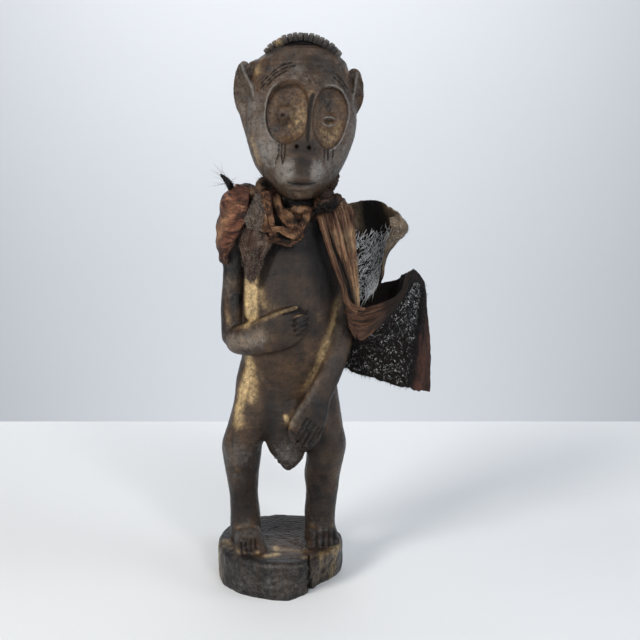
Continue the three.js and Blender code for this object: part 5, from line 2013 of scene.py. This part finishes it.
@dataclass
class Drapery:
    """The smaller pieces of hide: shoulder roll, hanging flap, and the ties across the throat."""

    shoulder: HideSheet = hide("shoulder_roll", [
        [(-22.5, -12, 329), (-21.4, -24, 318), (-24.4, -27, 303), (-29.5, -25, 293), (-37.5, -19, 278),
            (-40, -13, 268)],
        [(-31, -5, 332), (-37, -15, 320), (-41, -18, 303), (-43, -18, 290), (-44.5, -12, 276),
            (-42.5, -6, 266)],
        [(-32, 8, 331), (-43, 4, 323), (-47.5, 2, 307), (-50, 2, 291), (-48, 3, 276), (-44, 4, 266)],
        [(-27, 20, 328), (-37, 22, 318), (-43, 22, 303), (-45, 22, 288), (-44, 19, 275), (-42, 17, 266)],
        [(-15, 24, 322), (-22, 30, 312), (-26, 32, 300), (-28, 31, 288), (-29, 30, 276), (-30, 29, 266)],
    ], 64, 56, 2.2, 0.9, 4.5, 0.7, (0.8, 0.8, 0.4, 1.2), 8, True)
    flap: HideSheet = hide("chest_flap", [
        [(-21.5, -26, 304), (-26.5, -30, 297), (-29.4, -31, 288), (-27.8, -31, 277), (-25.8, -31, 269),
            (-24.3, -32, 259.5)],
        [(-15.5, -29, 302), (-15.5, -33, 296.5), (-16.2, -35.5, 288), (-17.8, -35, 277), (-19, -34.5, 268),
         (-21.0, -33, 256.8)],
        [(-9.5, -27, 299), (-6.5, -30, 294.5), (-3.2, -31, 288.5), (-8.6, -32, 278), (-12.2, -32, 269),
            (-17.6, -32, 259)],
    ], 32, 56, 1.8, 0.6, 2.5, 0.9, (0.9, 0.9, 0, 1.3), 9)
    tongue: HideSheet = hide("chest_tongue", [
        [(-16.0, -25, 325), (-20.8, -30.5, 315), (-24.4, -32.5, 306), (-22.6, -33.5, 300.0)],
        [(-14.2, -26, 325), (-14.8, -34, 315), (-15.4, -36, 306), (-15.2, -36.6, 297.5)],
        [(-13, -25, 324), (-10.4, -31, 315.5), (-8.3, -33, 305.4), (-8.6, -34, 295.5)],
    ], 26, 40, 1.6, 0.4, 1.2, 0.6, (0.7, 0.7, 0, 1.0), 15)
    strips: tuple = (
        ("throat_strip_a", [(-9, -20, 326, 7, 0), (-7.5, -28, 316, 7.5, 20), (-5.5, -33, 307, 7, -15),
                            (-4, -35.5, 299, 7, 10), (-2, -36, 292.5, 6.5, 35)]),
        ("throat_strip_b", [(-1, -17, 324, 6, 0), (2, -27, 315, 6.5, -25), (5, -31, 308, 6.5, 15),
                            (10, -33.5, 302, 6.5, 30), (16, -34.5, 298.5, 6, -15), (20, -33, 301, 5.5, 25),
                            (22.5, -30, 307, 5, 0), (23.5, -26, 312, 4, 0)]),
        ("throat_loop", [(-5, -36, 295, 6, 0), (1, -37.5, 299, 6.2, 35), (7, -38.5, 297.5, 6.2, -20),
                         (13, -38, 294, 6, 15), (17.5, -36, 296.5, 5.5, -25), (19.5, -33.5, 302.5, 5, 10)]),
        ("throat_fold", [(4, -29, 312, 5, 0), (8.5, -33, 309.5, 5.5, 35), (12.5, -35, 305, 5.5, -20),
                         (14.5, -34.5, 300, 5, 0)]),
        ("throat_tail", [(-12.5, -24, 322, 5, 0), (-11, -31.5, 312, 5.5, 25), (-9, -35, 303, 5, -15),
                         (-8, -36, 296, 5, 10)]),
        ("throat_pale_strip", [(-7, -34.5, 291, 4.5, 0), (2, -36, 289.3, 4.5, 12), (9, -36.8, 288, 4.5, -12),
                               (15, -35.5, 290.5, 4, 12), (20, -31.5, 295, 3.5, 0)]),
    )
    lumps: tuple = (
        ((30, -19, 311), (8, 5, 4), (0, -18, 0)), ((37, -25, 316), (7, 4.5, 4.6), (0, -25, 0)),
        ((43, -21, 319), (5.5, 4, 3.6), (0, 10, 0)), ((-8, -9, 320), (9, 8, 8), (0, 20, 0)),
        ((-13, -9, 329), (5, 5.5, 9), (0, 12, 0)), ((-19, -8, 325), (7, 7, 6), (0, 0, 20)),
        ((20, -24, 312.5), (9, 3.5, 3.2), (0, 6, 0)), ((-14, -18, 319), (5, 4, 6), (0, 0, 0)),
        ((-26, 0, 328), (8, 9, 4.5), (0, 0, 0)), ((47, -17, 321), (4, 4, 4), (0, 0, 0)),
        ((45, -8, 320), (4.5, 5, 4), (0, 0, 0)), ((44, -4, 333), (2.8, 5, 9), (0, 26, 0)),
        ((-3, -4, 330), (8, 8, 9), (0, 10, 0)), ((37, -4, 322), (8, 8, 8), (0, 0, 0)),
    )

    def build(self, roll_finish: bpy.types.Material, bare: bpy.types.Material, pale: bpy.types.Material,
              hair: bpy.types.Material, fuzz_finish: bpy.types.Material) -> None:
        """Makes the pieces.

        Args:
            roll_finish: The finish of the shoulder roll.
            bare: The finish of the bare hide.
            pale: The finish of the fuzzy flap.
            hair: The finish of the hairs.
            fuzz_finish: The finish of the flap's fuzz.
        """
        roll = self.shoulder.build()
        co = corners_of(roll.data)
        # The roll's dark strokes are painted shade in its folds and under its edges.
        put_tints(roll.data, dark=strokes(co, [
            (((-45, -10, 272), (-40, -14, 268)), 6, 0.5),
            (((-28, -26, 316), (-33, -24, 302), (-42, -16, 296)), 1.8, 0.7),
            (((-25, -27, 300), (-32, -25, 288), (-39, -18, 276)), 3.5, 0.75),
            (((-27, -20, 327), (-30, -20, 318)), 2.0, 0.7), (((-44, -14, 296), (-36, -21, 294)), 1.6, 0.6),
            (((-31, -22, 284), (-38, -16, 271)), 6, 0.85), (((-46, -8, 282), (-43, -7, 268)), 7, 0.62),
            (((-24, -26, 318), (-26, -26, 308)), 3.5, 0.5),
        ]), light=strokes(co, [
            (((-43, -15, 302), (-46, -10, 290)), 7, 0.9), (((-33, -18, 318), (-39, -16, 306)), 5, 0.4),
        ]))
        finished(roll, Slot.BARE, roll_finish, "shoulder_hide")
        self.shoulder.declare(roll, Hold.FOLDED, ["wood_body"])
        for sheet, count, silvers, nodes in (
            (self.flap, 3600, 0.22, ["hanging_flap"]), (self.tongue, 2600, 0.50, []),
        ):
            coat = FurCoat(sheet.name + "_fuzz", sheet, count, 1.5, 0.24, 0.9, (0, -0.2, -1), -1, 13,
                           silver=even(silvers))
            fuzzy = finished(coat.build(), Slot.FUR, fuzz_finish)
            piece = sheet.build()
            co = corners_of(piece.data)
            put_tints(piece.data, dark=strokes(co, [(((-16, -36, 282), (-18, -34, 266)), 4, 0.6)]),
                      light=np.clip(1.2 * grain(co, 4, 81) + 1.6 * silvers, 0, 0.9))
            finished(piece, Slot.FUR, pale, *nodes)
            sheet.declare(piece, Hold.HUNG, ["wood_body"], [fuzzy])
        self.band(bare)
        for index, (name, rows) in enumerate(self.strips):
            sheet = HideSheet(name, ribbon(rows), 16, 64, 1.5, 0.8, 1.3, 0.9, (0.5, 0.5, 0, 0), 20 + index)
            piece = sheet.build()
            co = corners_of(piece.data)
            put_tints(piece.data, dark=np.clip(0.12 + 1.3 * grain(co, 5, 60 + index), 0, 0.9),
                      light=np.clip(0.2 + 1.0 * grain(co, 6, 70 + index), 0, 0.9))
            finished(piece, Slot.BARE, bare)
        self.tufts(hair)

    def band(self, bare: bpy.types.Material) -> None:
        """Makes the band round the neck with its knot and the bunch on the left.

        Args:
            bare: The hide it is made of.
        """
        bm = bmesh.new()
        turns = np.linspace(0, 2 * math.pi, 17)
        Limb([(NECK_X + 0.5 + 21 * math.cos(a), 2 + 20 * math.sin(a), 309.5 + 3.2 * math.sin(a - 1.4), 3.6,
            2.7)
              for a in turns + 2.2], (0, 0, 1), 24, 160, 0.01).add(bm)
        for at, halves, turn in self.lumps:
            Egg(at, halves, turn).add(bm)
        Limb([(-37.5, 0, 328, 4.6, 2.6), (-40, 0, 333, 4.4, 2), (-43.5, 0, 337.5, 3.4, 1.2),
            (-46.5, 0, 340.5, 1.6, 0.6)],
             (0, 1, 0), 24, 32, 0.2).add(bm)
        piece = joined(piece_of(bm, "neck_band"), 0.6, 3)
        co, normals = corners_of(piece.data), normals_of(piece.data)
        creases = 0.5 - np.abs(grain(co, (3.2, 3.2, 2.2), 41)) + 0.5 * (0.5 - np.abs(grain(co, 1.8, 42)))
        co += normals * (1.3 * creases)[:, None]
        put_corners(piece.data, co)
        # Black at the band's left end, and painted shade under the jaw, left of the chin and by the knot.
        black = np.maximum(np.clip((-34 - co[:, 0]) / 3, 0, 1),
            spots(co, [(0, -9, 332, 6, 1.2), (42, -8, 328, 8, 0.6)]))
        put_tints(
            piece.data,
            dark=np.maximum(0.45 + 0.5 * np.clip(grain(co, 4, 43), -0.4, 1), black),
            light=spots(co, [(16, -26, 312, 8, 0.8), (-13, -14, 331, 5, 0.6), (-20, -14, 325, 6, 0.5)]),
        )
        finished(piece, Slot.BARE, bare, "neck_ties")

    def tufts(self, hair: bpy.types.Material) -> None:
        """Makes the tufts of hair that stick out at the knot and the left shoulder.

        Args:
            hair: The hairs' material.
        """
        for name, ribs, count, length, width, lean, down, seed in (
            ("knot_tuft",
                [[(27, -26, 316), (37, -30, 319), (46, -22, 322)],
                [(29, -24, 308), (38, -28, 311), (45, -24, 315)]],
             420, 5.0, 0.42, 1.8, (0.5, -0.4, 0.4), 17),
            ("shoulder_tuft",
                [[(-42, 0, 336), (-40, 0, 333), (-37, 0, 330)],
                [(-41, -2, 332), (-39, -2, 330), (-37, -2, 329)]],
             34, 6.0, 0.40, 0.5, (-0.8, 0, 0.55), 19),
            ("stray_hairs",
                [[(-46, 0, 339), (-40, 0, 334), (-30, 0, 331)],
                [(-44, -2, 336), (-39, -2, 331), (-30, -2, 330)]],
             16, 15.0, 0.26, 0.5, (-1.3, 0, 0.3), 23),
            ("neck_hairs",
                [[(-12, -14, 336), (-8, -15, 334), (-4, -17, 331)],
                [(-12, -15, 331), (-8, -16, 329), (-4, -18, 327)]],
             60, 6.0, 0.4, 0.8, (-0.5, -0.2, 0.6), 29),
        ):
            patch = HideSheet(name, ribs, 8, 8, 1.0, crumple=0.0)
            coat = FurCoat(name, patch, count, length, width, lean, down, 1.0, seed,
                           silver=even(0.0))
            finished(coat.build(), Slot.FUR, hair)


# Studio


@dataclass
class Studio:
    """The camera, table, backdrop and soft lights."""

    lens: float = 50.625
    eye: tuple = (0.0335, -0.7318, 0.3434)
    pitch: float = 80.55
    lamps: tuple = (
        ("key", (-0.95, -1.05, 0.95), (0, 0, 0.25), 0.5, 18.8, (1.0, 0.962, 0.91)),
        ("front", (0.45, -1.45, 0.75), (0.02, 0, 0.25), 0.8, 7.5, (0.97, 0.98, 1.0)),
        ("fill", (1.25, -0.35, 0.6), (0, 0, 0.2), 0.7, 6, (0.88, 0.94, 1.0)),
        ("top", (0.1, 0.35, 1.5), (0, 0, 0.2), 1.2, 3, (0.95, 0.98, 1.0)),
        ("sweep", (-0.1, 1.2, 1.8), (-0.05, 2.4, 1.05), 2.3, 35, (0.985, 0.99, 1.0)),
        ("low_sweep", (0, 1.1, -1.3), (0, 2.4, -0.3), 1.6, 16, (0.97, 0.985, 1.0)),
    )

    def camera(self) -> None:
        """Puts the camera where the photographer stood."""
        data = bpy.data.cameras.new("camera")
        data.lens = self.lens
        data.sensor_width = 36
        made = bpy.data.objects.new("camera", data)
        made.location = self.eye
        made.rotation_euler = (math.radians(self.pitch), 0, 0)
        bpy.context.scene.collection.objects.link(made)
        bpy.context.scene.camera = made

    def hang(self, data: bpy.types.Light, at: tuple, target: tuple, power: float, colour: tuple) -> None:
        """Hangs a light where it shines on its target.

        Args:
            data: The lamp.
            at: Where it hangs.
            target: Where it shines.
            power: How strong it is, in watts.
            colour: Its colour.
        """
        data.energy = power
        data.color = colour
        made = bpy.data.objects.new(data.name, data)
        made.location = at
        made.rotation_euler = (Vector(target) - Vector(at)).to_track_quat("-Z", "Y").to_euler()
        bpy.context.scene.collection.objects.link(made)

    def lamp(self, name: str, at: tuple, target: tuple, size: float, power: float, colour: tuple) -> None:
        """Adds a soft square light.

        Args:
            name: What it is called.
            at: Where it hangs.
            target: Where it shines.
            size: The length of its side, in metres.
            power: How strong it is, in watts.
            colour: Its colour.
        """
        data = bpy.data.lights.new(name, "AREA")
        data.size = size
        self.hang(data, at, target, power, colour)

    def spot(self, name: str, at: tuple, target: tuple, cone: float, power: float, colour: tuple) -> None:
        """Adds a soft-edged spotlight, with its cone in degrees.

        Args:
            name: What it is called.
            at: Where it hangs.
            target: Where it shines.
            cone: How wide it opens, in degrees.
            power: How strong it is, in watts.
            colour: Its colour.
        """
        data = bpy.data.lights.new(name, "SPOT")
        data.spot_size = math.radians(cone)
        data.spot_blend = 1.0
        data.shadow_soft_size = 0.12
        self.hang(data, at, target, power, colour)

    def plane(self, name: str, corners: list, colour: tuple, rough: float) -> None:
        """Adds a plain stage surface with a faint mottle.

        Args:
            name: What it is called.
            corners: Its corners.
            colour: Its colour.
            rough: How rough it is.
        """
        bm = bmesh.new()
        bmesh.ops.create_grid(bm, x_segments=1, y_segments=1, size=1)
        bm.verts.ensure_lookup_table()
        for vert in bm.verts:
            vert.co = corners[(vert.co.x > 0) + 2 * (vert.co.y > 0)]
        bench = NodeBench(name)
        tone = bench.mix(bench.noise(1.6, 2), tuple(0.965 * c for c in colour), colour)
        surface = piece_of(bm, name)
        surface.data.materials.append(bench.dress(Base_Color=tone, Roughness=rough, Specular_IOR_Level=0.15))

    def build(self) -> None:
        """Makes the whole studio."""
        self.camera()
        self.plane("table", [(-1.6, -1.6, 0), (1.6, -1.6, 0), (-1.6, 0.475, 0), (1.6, 0.475, 0)],
                   (0.90, 0.90, 0.89), 0.7)
        self.plane("backdrop", [(-4, 2.4, -1.8), (4, 2.4, -1.8), (-4, 2.4, 3.4), (4, 2.4, 3.4)],
                   (0.735, 0.748, 0.762), 0.9)
        for name, at, target, size, power, colour in self.lamps:
            self.lamp(name, at, target, size, power, colour)
        self.spot("side", (0.55, -0.95, 0.95), (0.07, 0, 0.27), 24, 17, (0.97, 0.985, 1.0))
        world = bpy.data.worlds.new("studio")
        bpy.context.scene.world = world
        world.use_nodes = True
        sky = world.node_tree.nodes["Background"].inputs
        sky["Color"].default_value = (0.68, 0.80, 1.0, 1)
        sky["Strength"].default_value = 0.22
        bpy.context.scene.view_settings.view_transform = "Standard"


def main() -> None:
    """Builds the figure, its hide and the studio."""
    logging.basicConfig(level=logging.INFO, format="%(name)s: %(message)s")
    Studio().build()
    wood = WoodFinish().material()
    hides = {name: HideFinish(name, *looks).material() for name, looks in HIDES.items()}
    hair = HairFinish().material()
    fuzz = HairFinish(
        "brown_fuzz", (0.026, 0.015, 0.011), (0.085, 0.050, 0.034), (0.50, 0.44, 0.38)
    ).material()
    Body().build(wood, "carved_figure")
    Head().build(wood)
    Crest().build(wood)
    Cape().build(*(hides[name] for name in ("strap_hide", "cuff_hide", "fur_skin", "lobe_skin")), hair)
    Drapery().build(*(hides[name] for name in ("ruddy_hide", "throat_hide", "fuzzy_skin")), hair, fuzz)


if __name__ == "__main__":
    main()
